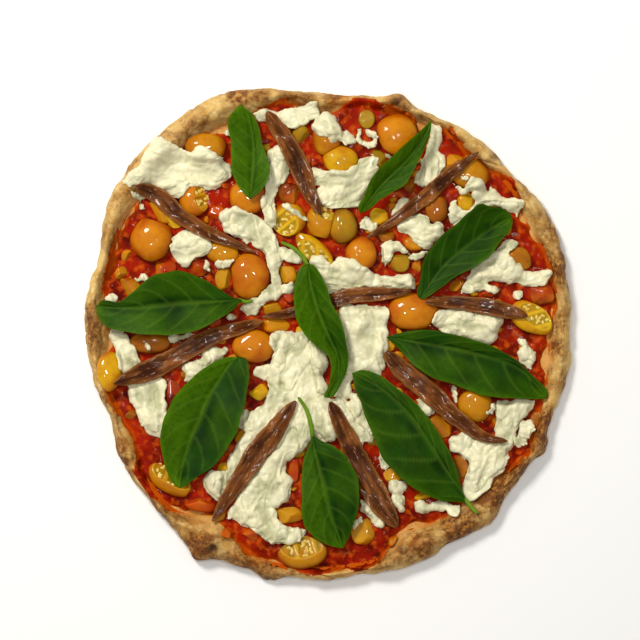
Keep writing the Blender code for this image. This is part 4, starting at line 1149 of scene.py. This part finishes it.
# The same for the bits and drips of cream between them
CREAM = (
    ((182, 366), (192, 363), (201, 358), (206, 350), (219, 347), (228, 347), (227, 355), (216, 360),
     (204, 370), (192, 384), (184, 381), (185, 374)),
    ((169, 336), (180, 334), (190, 332), (196, 333), (188, 338), (180, 341), (177, 346), (172, 345)),
    ((520, 338), (525, 341), (528, 349), (535, 353), (534, 361), (531, 371), (526, 368), (520, 362),
     (519, 352), (523, 347)),
    ((522, 420), (530, 420), (532, 428), (530, 438), (524, 446), (515, 445), (512, 439), (518, 435)),
    ((416, 399), (422, 396), (429, 400), (436, 411), (430, 414), (427, 417), (420, 409)),
    ((453, 386), (458, 388), (458, 400), (455, 404), (453, 396)),
    ((492, 403), (494, 407), (489, 415), (483, 421), (481, 425), (483, 418), (489, 410)),
    ((389, 484), (396, 480), (403, 482), (403, 490), (400, 494), (405, 500), (405, 508), (401, 513),
     (396, 506), (391, 500), (393, 493)),
    ((415, 505), (420, 501), (430, 503), (440, 500), (444, 503), (452, 506), (460, 503), (459, 511),
     (453, 514), (445, 511), (435, 512), (424, 513), (416, 510)),
    ((358, 500), (364, 499), (372, 506), (378, 515), (384, 527), (377, 527), (370, 518), (364, 512)),
    ((353, 524), (359, 516), (363, 517), (358, 527), (354, 531)),
    ((334, 398), (341, 400), (348, 408), (352, 418), (358, 425), (368, 432), (374, 438), (372, 444),
     (365, 441), (363, 447), (357, 440), (350, 434), (346, 424), (341, 413)),
    ((378, 451), (383, 455), (388, 464), (386, 472), (381, 468), (379, 460)),
    ((203, 478), (210, 473), (218, 470), (222, 476), (222, 490), (218, 500), (212, 497), (206, 488)),
    ((313, 128), (316, 117), (324, 113), (335, 117), (341, 126), (340, 138), (333, 144), (329, 137),
     (322, 134), (316, 137)),
    ((342, 132), (348, 131), (355, 137), (354, 142), (346, 144), (342, 139)),
    ((357, 128), (362, 127), (361, 134), (364, 141), (369, 145), (374, 143), (372, 136), (366, 131),
     (368, 128), (375, 131), (378, 139), (376, 147), (369, 150), (361, 145), (357, 137)),
    ((223, 131), (230, 130), (231, 137), (226, 136)),
    ((131, 191), (140, 193), (148, 199), (141, 201), (134, 198)),
    ((137, 202), (143, 203), (144, 209), (139, 208)),
    ((104, 296), (112, 294), (117, 299), (111, 302)),
    ((134, 277), (141, 275), (149, 279), (148, 282), (139, 280)),
    ((214, 265), (220, 262), (228, 261), (236, 258), (236, 261), (228, 266), (222, 269), (215, 268)),
    ((205, 261), (208, 263), (208, 269), (212, 274), (208, 274), (204, 268)),
    ((226, 315), (231, 313), (238, 320), (232, 321), (225, 319)),
    ((385, 153), (393, 155), (391, 161), (386, 158)),
    ((409, 198), (407, 206), (401, 212), (393, 217), (392, 211), (398, 202)),
    ((362, 222), (366, 217), (371, 224), (377, 221), (376, 228), (370, 233), (363, 228)),
    ((381, 246), (390, 241), (400, 243), (409, 248), (411, 254), (402, 252), (393, 254), (388, 261),
     (384, 268), (380, 262), (380, 252)),
    ((407, 258), (414, 254), (424, 251), (428, 252), (426, 256), (416, 259), (410, 262)),
    ((461, 178), (466, 176), (468, 178), (467, 181), (462, 180)),
    ((513, 292), (519, 290), (524, 294), (521, 299), (514, 297)),
    ((132, 331), (138, 330), (144, 333), (137, 335)),
    ((144, 342), (148, 343), (153, 348), (151, 350), (146, 347)),
    ((284, 205), (288, 206), (300, 214), (309, 221), (306, 224), (297, 219), (288, 213)),
    ((265, 208), (271, 205), (276, 212), (276, 226), (273, 231), (267, 222), (264, 214)),
    ((310, 326), (318, 330), (324, 345), (326, 362), (323, 376), (327, 392), (318, 392), (312, 372)),
    ((318, 396), (330, 398), (339, 404), (336, 424), (338, 438), (326, 440), (314, 430), (312, 412)),
)
TEAR = 2.2
TEAR_SIZE = 6
BALL_STEP = 2.2
BALL_SPREAD = 0.8
LARGEST_BALL = 8.5
BALL_LIP = 0.8 * MM
BALL_SWELL = 0.68
SLUMP_BELOW = 0.12
CHEESE_VOXEL = 0.5 * MM
BALL_GRID = (7, 12)
# How far the grain of the folds is stirred, how much it is drawn out, and how deep folds go
STIR = 2.5 * MM
SQUEEZE = 0.4
FOLD_DEPTH = 0.95


# %% Filling an outline
def inside(spots, outline):
    """True where a line drawn to the right crosses the outline an odd number of times."""
    here, there = outline, np.roll(outline, -1, axis=0)
    x, y = spots[:, :1], spots[:, 1:]
    crosses = (here[:, 1] > y) != (there[:, 1] > y)
    rise = there[:, 1] - here[:, 1]
    at = here[:, 0] + (y - here[:, 1]) * (there[:, 0] - here[:, 0]) / np.where(rise == 0, 1, rise)
    return (crosses & (x < at)).sum(axis=1) % 2 == 1


def edge_distance(spots, outline):
    """How far each spot is from the nearest side of the outline."""
    side = np.roll(outline, -1, axis=0) - outline
    part = np.clip(((spots[:, None] - outline) * side).sum(-1) / (side ** 2).sum(-1), 0, 1)
    return np.linalg.norm(spots[:, None] - outline - part[..., None] * side, axis=-1).min(axis=1)


def torn(spots):
    """Spots shifted by small bumps, which frays any outline that they are tested against."""
    flat = np.concatenate([spots, np.zeros((len(spots), 1))], axis=1)
    return spots + TEAR * np.stack([bumps(flat, TEAR_SIZE, 41), bumps(flat, TEAR_SIZE, 42)], axis=1)


def ball(rows, columns):
    """A ball of radius 1 as rings. Going down, the height follows a cosine and the reach a sine."""
    down = np.linspace(0.06, 0.94, rows)[:, None] * math.pi
    turn = np.linspace(0, 2 * math.pi, columns, endpoint=False)[None, :]
    reach = np.sin(down)
    return np.stack([reach * np.cos(turn), reach * np.sin(turn), np.cos(down) + 0 * turn], axis=-1)


def balls_in(outline):
    """Flattened balls on a shaken lattice inside the outline. The larger they may be, the fewer."""
    outline = np.array(outline, float)
    low, high = outline.min(axis=0), outline.max(axis=0)
    x, y = np.meshgrid(*(np.arange(low[i], high[i], BALL_STEP) for i in (0, 1)))
    spots = np.stack([x.ravel(), y.ravel()], axis=1)
    spots += draws.uniform(-0.5, 0.5, spots.shape) * BALL_STEP
    shaken = torn(spots)
    kept_in = inside(shaken, outline)
    spots = spots[kept_in]
    reach = np.minimum(edge_distance(shaken[kept_in], outline) + BALL_SPREAD, LARGEST_BALL)
    wanted = draws.uniform(size=len(spots)) < (1.4 * BALL_STEP / reach) ** 1.2
    spots, wide = spots[wanted], reach[wanted] * PIXEL
    centres = np.concatenate([place(spots[:, 0], spots[:, 1]), np.zeros((len(spots), 1))], axis=1)
    tall = (BALL_LIP + BALL_SWELL * wide) * (1 + 0.4 * bumps(centres, 8 * MM, 31))
    size = np.stack([wide, wide, tall], axis=1)
    return centres[:, None, None] + ball(*BALL_GRID) * size[:, None, None]


def remeshed(mesh, voxel):
    """The mesh melted into one skin by a Remesh modifier, which is applied."""
    holder = bpy.data.objects.new("holder", mesh)
    bpy.context.scene.collection.objects.link(holder)
    melt = holder.modifiers.new("melt", "REMESH")
    melt.mode = "VOXEL"
    melt.voxel_size = voxel
    bpy.context.view_layer.update()
    graph = bpy.context.evaluated_depsgraph_get()
    result = bpy.data.meshes.new_from_object(holder.evaluated_get(graph))
    bpy.data.objects.remove(holder)
    return result


def read_points(mesh, key):
    """The points' places (co) or the way they face (normal)."""
    values = np.empty(3 * len(mesh.vertices), np.float32)
    mesh.vertices.foreach_get(key, values)
    return values.reshape(-1, 3).astype(float)


def pulled(points, seed):
    """Points stirred a little, turned to the way this patch was pulled and squeezed along it."""
    flat = points[:, :2] - points[:, :2].mean(axis=0)
    way = np.linalg.eigh(flat.T @ flat)[1][:, 1]
    stir = np.stack([bumps(points, 9 * MM, seed), bumps(points, 9 * MM, seed + 50)], axis=1)
    stirred = flat + STIR * stir
    along, beside = stirred @ way, stirred @ np.array([-way[1], way[0]])
    return np.stack([SQUEEZE * along, beside, points[:, 2]], axis=1)


def cheese_mesh(name, outlines, seed):
    """The melted skin of all balls, with folds, sharp valleys and pulled strands pressed into it."""
    loose = ring_mesh(name, np.concatenate([balls_in(outline) for outline in outlines]))
    mesh = remeshed(loose, CHEESE_VOXEL)
    mesh.name = name
    points, facing = read_points(mesh, "co"), read_points(mesh, "normal")
    grain = pulled(points, seed)
    fold = 1.05 * bumps(grain, 4.4 * MM, seed) - 0.75 * creases(grain, 9 * MM, seed + 3) ** 4
    fold += 0.65 * bumps(points, 6 * MM, seed + 2) + 0.32 * bumps(grain, 2 * MM, seed + 1)
    fold += 0.22 * bumps(points, 2.4 * MM, seed + 4) + 0.5 * creases(grain, 5 * MM, seed + 6) ** 3
    points += facing * (FOLD_DEPTH * fold * MM)[:, None]
    points[:, 2] *= np.where(points[:, 2] < 0, SLUMP_BELOW, 1)
    return mesh, points, fold


def cheese_finish():
    """Cream white that glows softly, with painted grey-green shade in its folds, and a wet sheen."""
    finish, tree, sockets, where = new_finish(
        "fresh cheese", Roughness=0.4, Subsurface_Weight=0.2, Subsurface_Scale=0.002,
        Subsurface_Radius=(1.0, 0.9, 0.6), Coat_Weight=0.15, Coat_Roughness=0.15, Specular_IOR_Level=0.25)
    white = mixed(tree, blotches(tree, where, 90, 0.4, 0.66), colour(234, 227, 188), colour(220, 216, 180))
    # Painted shade: greyer and greener where the folds sink
    feed(tree, sockets["Base Color"], mixed(tree, kept(tree, "painted_fold_shade"), white, colour(192, 190, 148)))
    feed(tree, sockets["Normal"], relief(tree, where, 360, 0.4 * MM, 0.5))
    return finish


# %% The patches
# How much of the painted shade in the folds a patch shows. The widest one gets little, so it stays the
# smoothest and whitest.
FOLD_SHADE = {"cheese_upper_left": 0.2}
CURD = cheese_finish()


def add_cheese(name, outlines, seed, node):
    """Makes one piece of curd from its outlines, lays it on the pile and gives its points."""
    mesh, points, fold = cheese_mesh(name, outlines, seed)
    points = bridged(points, pile)
    mesh.vertices.foreach_set("co", points.astype(np.float32).ravel())
    mesh.update()
    # The painted shade in the folds, from how deep each fold sinks
    keep(mesh, "painted_fold_shade", FOLD_SHADE.get(node, 1) * (1 - ease(fold, -1, 0.3))[:, None])
    add_piece(name, mesh, CURD, "fresh_cheese", node)
    return points, len(mesh.polygons)


faces = 0
for number, (name, outline) in enumerate(CHEESE.items()):
    points, count = add_cheese(name.replace("cheese", "curd"), [outline], 5 * number, name)
    pile = with_top(pile, points)
    faces += count
print("patches of cheese:", len(CHEESE), "with faces:", faces)

# %% The bits of cream
CREAM_SEED = 90
points, count = add_cheese("cheese_scraps", CREAM, CREAM_SEED, "tomato_sauce")
pile = with_top(pile, points)
print("bits of cream:", len(CREAM), "with faces:", count)

# %% [markdown]
# ## Anchovy fillets
# A salted fillet is a limp brown strip, thicker in the middle, with fine fibres along it, a groove
# where the backbone lay and ragged edges. It is an oval section carried along a bent path. The
# fibres are real ridges on it, and the finish reads the same place along and across the fillet.

# %% The fillets
# Points along each with its half width, in pixels
ANCHOVIES = (
    ((267, 112, 5), (285, 140, 8.5), (299, 165, 9.5), (309, 192, 7), (321, 215, 2.5)),
    ((478, 153, 2), (452, 173, 6), (425, 197, 7), (395, 220, 4.5), (367, 238, 2)),
    ((136, 187, 5), (160, 197, 8), (180, 216, 7.5), (214, 235, 6), (256, 253, 2)),
    ((115, 384, 3), (143, 373, 9), (176, 357, 9), (208, 339, 8), (240, 328, 6.5), (263, 321, 3)),
    ((262, 317, 2), (290, 313, 5), (322, 306, 6), (350, 296, 7), (382, 294, 6), (412, 291, 2)),
    ((425, 302, 3), (448, 302, 6), (475, 305, 7.5), (505, 311, 7.5), (527, 316, 3)),
    ((385, 352, 5), (404, 371, 9.5), (430, 393, 10), (457, 419, 7.5), (485, 437, 5), (507, 441, 2)),
    ((296, 401, 4), (274, 431, 9), (254, 457, 10), (236, 484, 7.5), (213, 521, 3)),
    ((330, 402, 5), (346, 436, 9), (360, 465, 11), (380, 502, 11), (397, 527, 5)),
)
FILLET_SPREAD = 1.08
# Part of the length over which each end closes, and how much the fibres are drawn out along it
FILLET_ENDS = 0.06
FIBRE_STRETCH = 0.16
FILLET_DRAPE = 7


def leftwards(path):
    """The way to the left of a path, at each of its points."""
    way = np.gradient(path, axis=0)
    way /= np.hypot(*way.T)[:, None]
    return np.stack([-way[:, 1], way[:, 0]], axis=1)


def joined(*values):
    """Grids of numbers put together as one point for each place of the grid."""
    return np.stack(np.broadcast_arrays(*values), axis=-1)


def ragged_sides(along, side, seed):
    """How far out each side reaches: 1, with uneven bumps along it."""
    edges = joined(along, np.sign(side) * 0.02, 0.03 * seed)
    return 1 + 0.12 * bumps(edges, 9 * MM) + 0.06 * bumps(edges, 2.5 * MM)


def fish_relief(along, beside, side, seed):
    """In millimetres: bumps drawn out into fibres, low lumps, and a groove shaped like a bell."""
    grain = joined(FIBRE_STRETCH * along, beside, 0.02 * seed)
    fibre = 0.3 * bumps(grain, 2.2 * MM, seed) + 0.16 * bumps(grain, 1 * MM, seed + 1)
    lumpy = 0.35 * bumps(joined(along, beside, 0.1 * seed), 6 * MM, seed + 2)
    groove = -0.32 * np.exp(-((side + 0.12) / 0.16) ** 2)
    return fibre, lumpy, groove


def anchovy_rings(route, seed):
    """An oval section along the route: flat below, two long muscles above and fine fibres on them."""
    rows, columns = 170, 48
    stations = through(route, rows)
    path = place(stations[:, 0], stations[:, 1])
    turn = np.linspace(0, 2 * math.pi, columns, endpoint=False)
    side, up = np.cos(turn)[None, :], np.sin(turn)[None, :]
    part = np.linspace(0.004, 0.996, rows)[:, None]
    ends = np.minimum(np.minimum(part, 1 - part) / FILLET_ENDS, 1) ** 0.5
    along = np.cumsum(np.r_[0, np.linalg.norm(np.diff(path, axis=0), axis=1)])[:, None]
    beside = side * stations[:, 2:3] * PIXEL
    fibre, lumpy, groove = fish_relief(along, beside, side, seed)
    tall = ANCHOVY_DEPTH * 0.5 * ends * np.sign(up) * np.abs(up) ** 0.8
    tall = tall + np.where(up > 0, (fibre + lumpy + groove) * MM * ends * np.sqrt(np.abs(up)), 0)
    aside = FILLET_SPREAD * beside * ends * ragged_sides(along, side, seed)
    points = path[:, None, :] + leftwards(path)[:, None, :] * aside[..., None]
    rings = np.concatenate([points, (tall + ANCHOVY_DEPTH * 0.4)[..., None]], axis=-1)
    # Painted shade: darker where the fibres, lumps and groove sink
    deep = ease(-(fibre + groove + 0.5 * lumpy), -0.05, 0.4) + 0 * aside
    hem = ease(np.abs(side), 0.62, 1) + 0 * aside
    return rings, {"weave": joined(along, beside, seed * 0.05), "deep": deep, "hem": hem}


def anchovy_finish():
    """Reddish brown muscle with painted shade in its grooves, rosy and paler at its hems, painted pale
    glints along its fibres, wet with oil.
    """
    finish, tree, sockets, where = new_finish(
        "cured fish", Roughness=0.32, Coat_Weight=0.22, Coat_Roughness=0.08, Specular_IOR_Level=0.08)
    weave = kept(tree, "weave", "Vector")
    stretched = add_node(tree, "ShaderNodeMapping", {"Vector": weave, "Scale": (0.2, 1, 1)}).outputs[0]
    brown = mixed(tree, blotches(tree, stretched, 330, 0.36, 0.64), colour(84, 40, 10), colour(138, 80, 32))
    patched = mixed(tree, blotches(tree, where, 80, 0.45, 0.66), brown, colour(66, 28, 6))
    # Painted shade in the grooves
    dark = mixed(tree, times(tree, kept(tree, "deep"), 0.7), patched, colour(44, 18, 4))
    hemmed = mixed(tree, times(tree, kept(tree, "hem"), 0.6), dark, colour(158, 102, 46))
    # Painted glints: pale flecks drawn out along the fibres
    flecks = blotches(tree, stretched, 1000, 0.62, 0.72, 2.0)
    feed(tree, sockets["Base Color"], mixed(tree, times(tree, flecks, 0.6), hemmed, colour(206, 162, 122)))
    feed(tree, sockets["Normal"], relief(tree, stretched, 700, 0.45 * MM, 0.65))
    return finish


CURED_FISH = anchovy_finish()
for number, route in enumerate(ANCHOVIES, 1):
    rings, fish_masks = anchovy_rings(route, number)
    rings = draped(rings, pile, FILLET_DRAPE)
    mesh = ring_mesh(f"fillet_{number}", rings, fish_masks)
    add_piece(mesh.name, mesh, CURED_FISH, "cured_fish", f"anchovy_{number}")
    pile = with_top(pile, rings)
print("fillets:", len(ANCHOVIES))

# %% [markdown]
# ## Basil
# A basil leaf is a smooth spoon: folded a little along its midrib, arched along its length, and
# quilted between side veins that sweep forward to the edge. A flat card with a picture of a leaf
# would have no quilting to catch the light. Each leaf is a grid with a depth of its own, made as
# a flat loop carried along the midrib, so its two faces are one closed skin.

# %% The leaves
# Each leaf from stalk to tip, in pixels: its midrib, then its edges to the left and right of it
LEAVES = (
    (((250, 200), (252, 182), (254, 147), (249, 118), (240, 105)),
     ((250, 200), (243, 193), (236, 183), (232, 170), (231, 155), (231, 142), (228, 128), (230, 117),
      (240, 105)),
     ((250, 200), (260, 193), (267, 183), (270, 170), (267, 157), (262, 144), (259, 128), (252, 114),
      (240, 105))),
    (((360, 214), (373, 196), (386, 181), (406, 162), (421, 142), (431, 121)),
     ((360, 214), (358, 207), (363, 198), (369, 184), (380, 169), (396, 154), (409, 142), (420, 132),
      (431, 121)),
     ((360, 214), (371, 209), (380, 201), (393, 193), (406, 184), (417, 164), (424, 150), (430, 134),
      (431, 121))),
    (((419, 300), (442, 268), (463, 249), (485, 233), (512, 216)),
     ((419, 300), (417, 293), (420, 279), (423, 263), (430, 249), (442, 235), (457, 223), (470, 212),
      (479, 205), (490, 207), (500, 208), (508, 212), (512, 216)),
     ((419, 300), (422, 300), (431, 295), (442, 287), (454, 278), (470, 270), (482, 262), (493, 252),
      (501, 241), (508, 233), (512, 225), (512, 216))),
    (((242, 300), (212, 302), (180, 304), (140, 308), (97, 307)),
     ((242, 300), (232, 311), (218, 320), (200, 330), (175, 335), (150, 335), (125, 332), (110, 328),
      (103, 322), (98, 314), (97, 307)),
     ((242, 300), (230, 296), (216, 287), (201, 278), (184, 272), (169, 273), (150, 279), (133, 293),
      (120, 302), (109, 301), (102, 301), (97, 307))),
    (((308, 264), (311, 285), (318, 310), (328, 335), (337, 355), (338, 375), (329, 398)),
     ((308, 264), (314, 266), (320, 274), (327, 288), (332, 304), (340, 320), (345, 338), (348, 364),
      (342, 382), (334, 396), (329, 398)),
     ((308, 264), (302, 266), (297, 275), (294, 288), (294, 302), (297, 320), (304, 334), (314, 345),
      (327, 355), (331, 366), (329, 384), (324, 396), (329, 398))),
    (((386, 337), (428, 344), (470, 352), (517, 367), (548, 398)),
     ((386, 337), (396, 334), (412, 331), (431, 330), (450, 334), (470, 339), (486, 344), (501, 351),
      (517, 361), (533, 376), (546, 389), (548, 398)),
     ((386, 337), (399, 349), (409, 361), (422, 372), (434, 379), (453, 385), (470, 392), (485, 396),
      (509, 398), (533, 399), (548, 398))),
    (((240, 357), (228, 367), (208, 400), (201, 419), (191, 441), (182, 471), (180, 488)),
     ((240, 357), (247, 360), (249, 379), (247, 395), (244, 409), (240, 422), (235, 436), (224, 454),
      (212, 467), (198, 476), (188, 484), (180, 488)),
     ((240, 357), (224, 358), (204, 368), (192, 379), (179, 392), (169, 409), (163, 424), (161, 440),
      (163, 456), (167, 470), (172, 481), (180, 488))),
    (((466, 501), (460, 489), (445, 468), (428, 441), (409, 414), (382, 389), (352, 373)),
     ((466, 501), (460, 502), (442, 500), (425, 494), (409, 484), (395, 472), (382, 456), (374, 438),
      (366, 419), (361, 403), (355, 389), (352, 373)),
     ((466, 501), (461, 488), (457, 472), (450, 454), (442, 440), (431, 422), (420, 408), (409, 397),
      (398, 389), (385, 379), (374, 373), (362, 370), (352, 373))),
    (((313, 434), (314, 448), (320, 471), (325, 492), (331, 515), (337, 530), (343, 548)),
     ((313, 434), (320, 440), (334, 446), (345, 456), (355, 471), (359, 486), (359, 500), (356, 516),
      (350, 534), (343, 548)),
     ((313, 434), (308, 447), (303, 463), (302, 487), (302, 511), (305, 526), (316, 538), (330, 545),
      (343, 548))),
)
# For each leaf: how far its sides rise from its midrib, as a slope, how far its length arches, in
# metres, and how much painted light its left and right sides get, from 0 to 1
LEAF_FORMS = (
    (0.35, 0.003, 0.6, 0.45), (0.75, 0.002, 0.7, 0.4), (0.22, 0.004, 0.1, 0.25), (0.25, 0.004, 0.25, 0.15),
    (0.45, 0.003, 0.3, 0.5), (0.16, 0.004, 0.1, 0.2), (0.28, 0.003, 0.05, 0.65), (0.14, 0.004, 0.15, 0.3),
    (0.22, 0.003, 0.15, 0.4),
)
# Stalks that show: the leaf's number, then points from the leaf outwards
STALKS = (
    (4, ((238, 300), (246, 302), (253, 301))), (5, ((308, 267), (302, 256), (292, 247), (281, 242))),
    (8, ((464, 498), (471, 507), (477, 513))), (9, ((313, 438), (310, 421), (305, 407), (298, 397))),
)
STALK_RADIUS = 1.1 * MM
STALK_PALENESS = 2
STALK_DRAPE = 4
LEAF_DEPTH = 0.7 * MM
VEINS = 6


def evenly(points, count):
    """A smooth line through the points, read at steps of even length."""
    fine = through(points, 300)
    length = np.r_[0, np.cumsum(np.linalg.norm(np.diff(fine, axis=0), axis=1))]
    at = np.linspace(0, length[-1], count)
    return place(*(np.interp(at, length, column) for column in fine.T))


def vein_lines(along, side):
    """1 on a vein, 0 between. Side veins leave the midrib in pairs and sweep towards the tip."""
    swept = along - 0.24 * np.abs(side) ** 1.3 + np.where(side > 0, 0.04, 0)
    wave = np.abs((swept * VEINS) % 1 - 0.5)
    branch = np.exp(-((0.5 - wave) / 0.06) ** 2) * ease(1.0 - np.abs(side), 0, 0.3)
    rib = np.exp(-(np.abs(side) / 0.04) ** 2) * (1 - 0.5 * along)
    return np.maximum(rib, 0.5 * branch), wave * 2


def leaf_shape(points, width, along, side, form, seed):
    """The height over a flat leaf: its sides rise from the midrib, its length arches, its edges
    wave and its skin billows, quilted between veins. Gives the veins and the billows too."""
    fold, arch = form[:2]
    vein, quilt = vein_lines(along, side)
    height = fold * width * np.abs(side) * (1.2 - 0.5 * np.abs(side))
    height = height + arch * (1 - (2 * along - 1) ** 2)
    wavy = np.sin(13 * along + 2 * np.sign(side) + seed) * np.abs(side) ** 1.5
    height = height + 0.7 * MM * wavy * ease(width, 1 * MM, 6 * MM)
    inner = ease(1 - np.abs(side), 0, 0.3)
    deep_points = np.concatenate([points, np.full_like(points[..., :1], 0.1 * seed)], -1)
    billow = bumps(deep_points, 14 * MM, seed)
    height = height + (0.3 * quilt * inner + 0.5 * billow) * MM
    return height - 0.22 * MM * vein, vein, billow


def painted_leaf_light(along, side, form, billow):
    """How much painted light a leaf gets: each side's own value, more at its tip, its edges and the tops
    of its billows, and painted shade beside its midrib.
    """
    light = np.where(side > 0, *form[2:]) + 0.35 * ease(along, 0.86, 1) + 0.25 * billow
    painted_shade_by_rib = np.exp(-((np.abs(side) - 0.16) / 0.1) ** 2)
    light = light + 0.3 * ease(np.abs(side), 0.82, 1) - 0.25 * painted_shade_by_rib
    return np.clip(light, 0, 1)


def leaf_rings(leaf, form, seed):
    """A flat loop, left to right above and back below, carried from the stalk to the tip."""
    rows, half = 190, 44
    midrib, left, right = (evenly(line, rows)[:, None, :] for line in leaf)
    along = np.linspace(0, 1, rows)[:, None]
    line = np.sin(np.linspace(-0.5, 0.5, half) * math.pi)
    side = np.concatenate([line, line[::-1]])[None, :]
    over = np.concatenate([np.ones(half), -np.ones(half)])[None, :]
    reach = np.where(side[..., None] > 0, left - midrib, right - midrib)
    scallop = 1 + 0.03 * bumps(joined(along, np.sign(side), 0.3 * seed), 0.07)
    points = midrib + reach * np.abs(side)[..., None] * scallop[..., None]
    width = np.linalg.norm(reach, axis=-1)
    height, vein, billow = leaf_shape(points, width, along, side, form, seed)
    thick = LEAF_DEPTH * 0.5 * np.sqrt(1 - 0.9 * side ** 2)
    rings = np.concatenate([points, (height + over * thick)[..., None]], axis=-1)
    return rings, {"vein": vein, "light": painted_leaf_light(along, side, form, billow)}


def stalk_rings(points):
    """A thin round stalk, wider where it leaves the leaf, with both ends rounded off."""
    rows, columns = 40, 14
    path = evenly(points, rows)
    turn = np.linspace(0, 2 * math.pi, columns, endpoint=False)[None, :]
    part = np.linspace(0, 1, rows)[:, None]
    ends = np.minimum(np.minimum(part, 1 - part) / 0.05 + 0.2, 1) ** 0.5
    radius = STALK_RADIUS * (1.25 - 0.4 * part) * ends
    flat = path[:, None, :] + leftwards(path)[:, None, :] * (radius * np.cos(turn))[..., None]
    height = STALK_RADIUS + radius * np.sin(turn)
    return np.concatenate([flat, height[..., None]], axis=-1)


def basil_finish():
    """Deep green, with painted light where the leaf turns to the light and painted shade by its midrib,
    with pale thin veins and a dull sheen.
    """
    finish, tree, sockets, where = new_finish("basil", Roughness=0.5, Specular_IOR_Level=0.05)
    dark = mixed(tree, blotches(tree, where, 70, 0.36, 0.62), colour(11, 39, 0), colour(28, 65, 0))
    # Painted light and shade: lighter green where the light mask is high
    green = mixed(tree, kept(tree, "light"), dark, colour(74, 112, 0))
    grained = mixed(tree, times(tree, blotches(tree, where, 420, 0.45, 0.7), 0.4), green, colour(20, 54, 0))
    veined = mixed(tree, times(tree, kept(tree, "vein"), 0.22), grained, colour(130, 164, 50))
    feed(tree, sockets["Base Color"], veined)
    feed(tree, sockets["Normal"], relief(tree, where, 700, 0.12 * MM, 0.3))
    return finish


LEAF_GREEN = basil_finish()
bare_pile = pile.copy()
# How much of a leaf is clear of the pile when it has come to rest
LEAF_CLEAR = 0.985
for number, (leaf, form) in enumerate(zip(LEAVES, LEAF_FORMS), 1):
    rings, leaf_masks = leaf_rings(leaf, form, number)
    rings = levelled(rested(rings, pile, True, LEAF_CLEAR), f"basil_{number}")
    mesh = ring_mesh(f"leaf_{number}", rings, leaf_masks)
    add_piece(mesh.name, mesh, LEAF_GREEN, "basil", f"basil_{number}")
    pile = with_top(pile, rings)
print("leaves:", len(LEAVES))

# %% The stalks
stalks = np.stack([draped(stalk_rings(points), bare_pile, STALK_DRAPE) for _, points in STALKS])
plain = np.ones(stalks.shape[:3])
mesh = ring_mesh("leaf_stalks", stalks, {"vein": STALK_PALENESS * plain, "light": plain})
add_piece("leaf_stalks", mesh, LEAF_GREEN, "basil", *(f"basil_{number}" for number, _ in STALKS))
print("stalks:", len(STALKS))

# %% [markdown]
# ## Camera, light and floor
# The picture was taken from straight above. A long lens far away keeps the high leaves from
# leaning outwards. One broad soft light stands at the upper left, and two small ones nearer the
# camera give the wet sparkle, over a plain pale floor.

# %% The camera
PICTURE_SIDE = 640
CAMERA_HEIGHT = 1.9
CAMERA_LEAN = 1.5
LOOK_HEIGHT = 8 * MM

view_middle = np.array([*place(PICTURE_SIDE / 2, PICTURE_SIDE / 2), LOOK_HEIGHT])
camera_data = bpy.data.cameras.new("camera")
camera = bpy.data.objects.new("camera", camera_data)
bpy.context.scene.collection.objects.link(camera)
lean = math.radians(CAMERA_LEAN)
camera.location = view_middle + CAMERA_HEIGHT * np.array([0, -math.sin(lean), math.cos(lean)])
camera.rotation_euler = (lean, 0, 0)
camera_data.sensor_width = 36
camera_data.lens = camera_data.sensor_width * CAMERA_HEIGHT / (PICTURE_SIDE * PIXEL)
bpy.context.scene.camera = camera
print("lens in mm:", round(camera_data.lens, 1))


# %% The light
# Name, place and side in metres, power in watts, colour
LIGHTS = (
    ("key", (-0.6, 0.75, 1.2), 0.3, 17, (1, 0.97, 0.92)),
    ("sparkle", (0.12, 0.22, 1.6), 0.13, 4, (1, 0.98, 0.95)),
    ("second sparkle", (-0.3, -0.1, 1.6), 0.1, 2.5, (1, 0.98, 0.95)),
)
ROOM_TONE = (1, 0.99, 0.97, 1)
ROOM_STRENGTH = 0.36


def soft_light(name, place_at, size, power, tone):
    """A square light that faces the pizza's middle."""
    data = bpy.data.lights.new(name, "AREA")
    data.size = size
    data.energy = power
    data.color = tone
    light = bpy.data.objects.new(name, data)
    bpy.context.scene.collection.objects.link(light)
    light.location = place_at
    away = np.array(place_at)
    tilt = math.acos(away[2] / np.linalg.norm(away))
    light.rotation_euler = (tilt, 0, math.atan2(away[1], away[0]) + math.pi / 2)


for row in LIGHTS:
    soft_light(*row)
world = bpy.data.worlds.new("studio")
bpy.context.scene.world = world
world.use_nodes = True
room = world.node_tree.nodes["Background"].inputs
room["Color"].default_value = ROOM_TONE
room["Strength"].default_value = ROOM_STRENGTH
bpy.context.scene.view_settings.view_transform = "Standard"
print("lights:", len(LIGHTS))

# %% The floor
FLOOR_REACH = 3.0
FLOOR_DROP = 0.05 * MM
FLOOR_TONE = (0.93, 0.93, 0.92, 1)
floor_mesh = bpy.data.meshes.new("floor")
ways = ((-1, -1), (1, -1), (1, 1), (-1, 1))
corners = [(x * FLOOR_REACH, y * FLOOR_REACH, -FLOOR_DROP) for x, y in ways]
floor_mesh.from_pydata(corners, [], [(0, 1, 2, 3)])
floor = bpy.data.objects.new("floor", floor_mesh)
bpy.context.scene.collection.objects.link(floor)
pale = new_finish("pale floor", Base_Color=FLOOR_TONE, Roughness=0.8)[0]
floor_mesh.materials.append(pale)
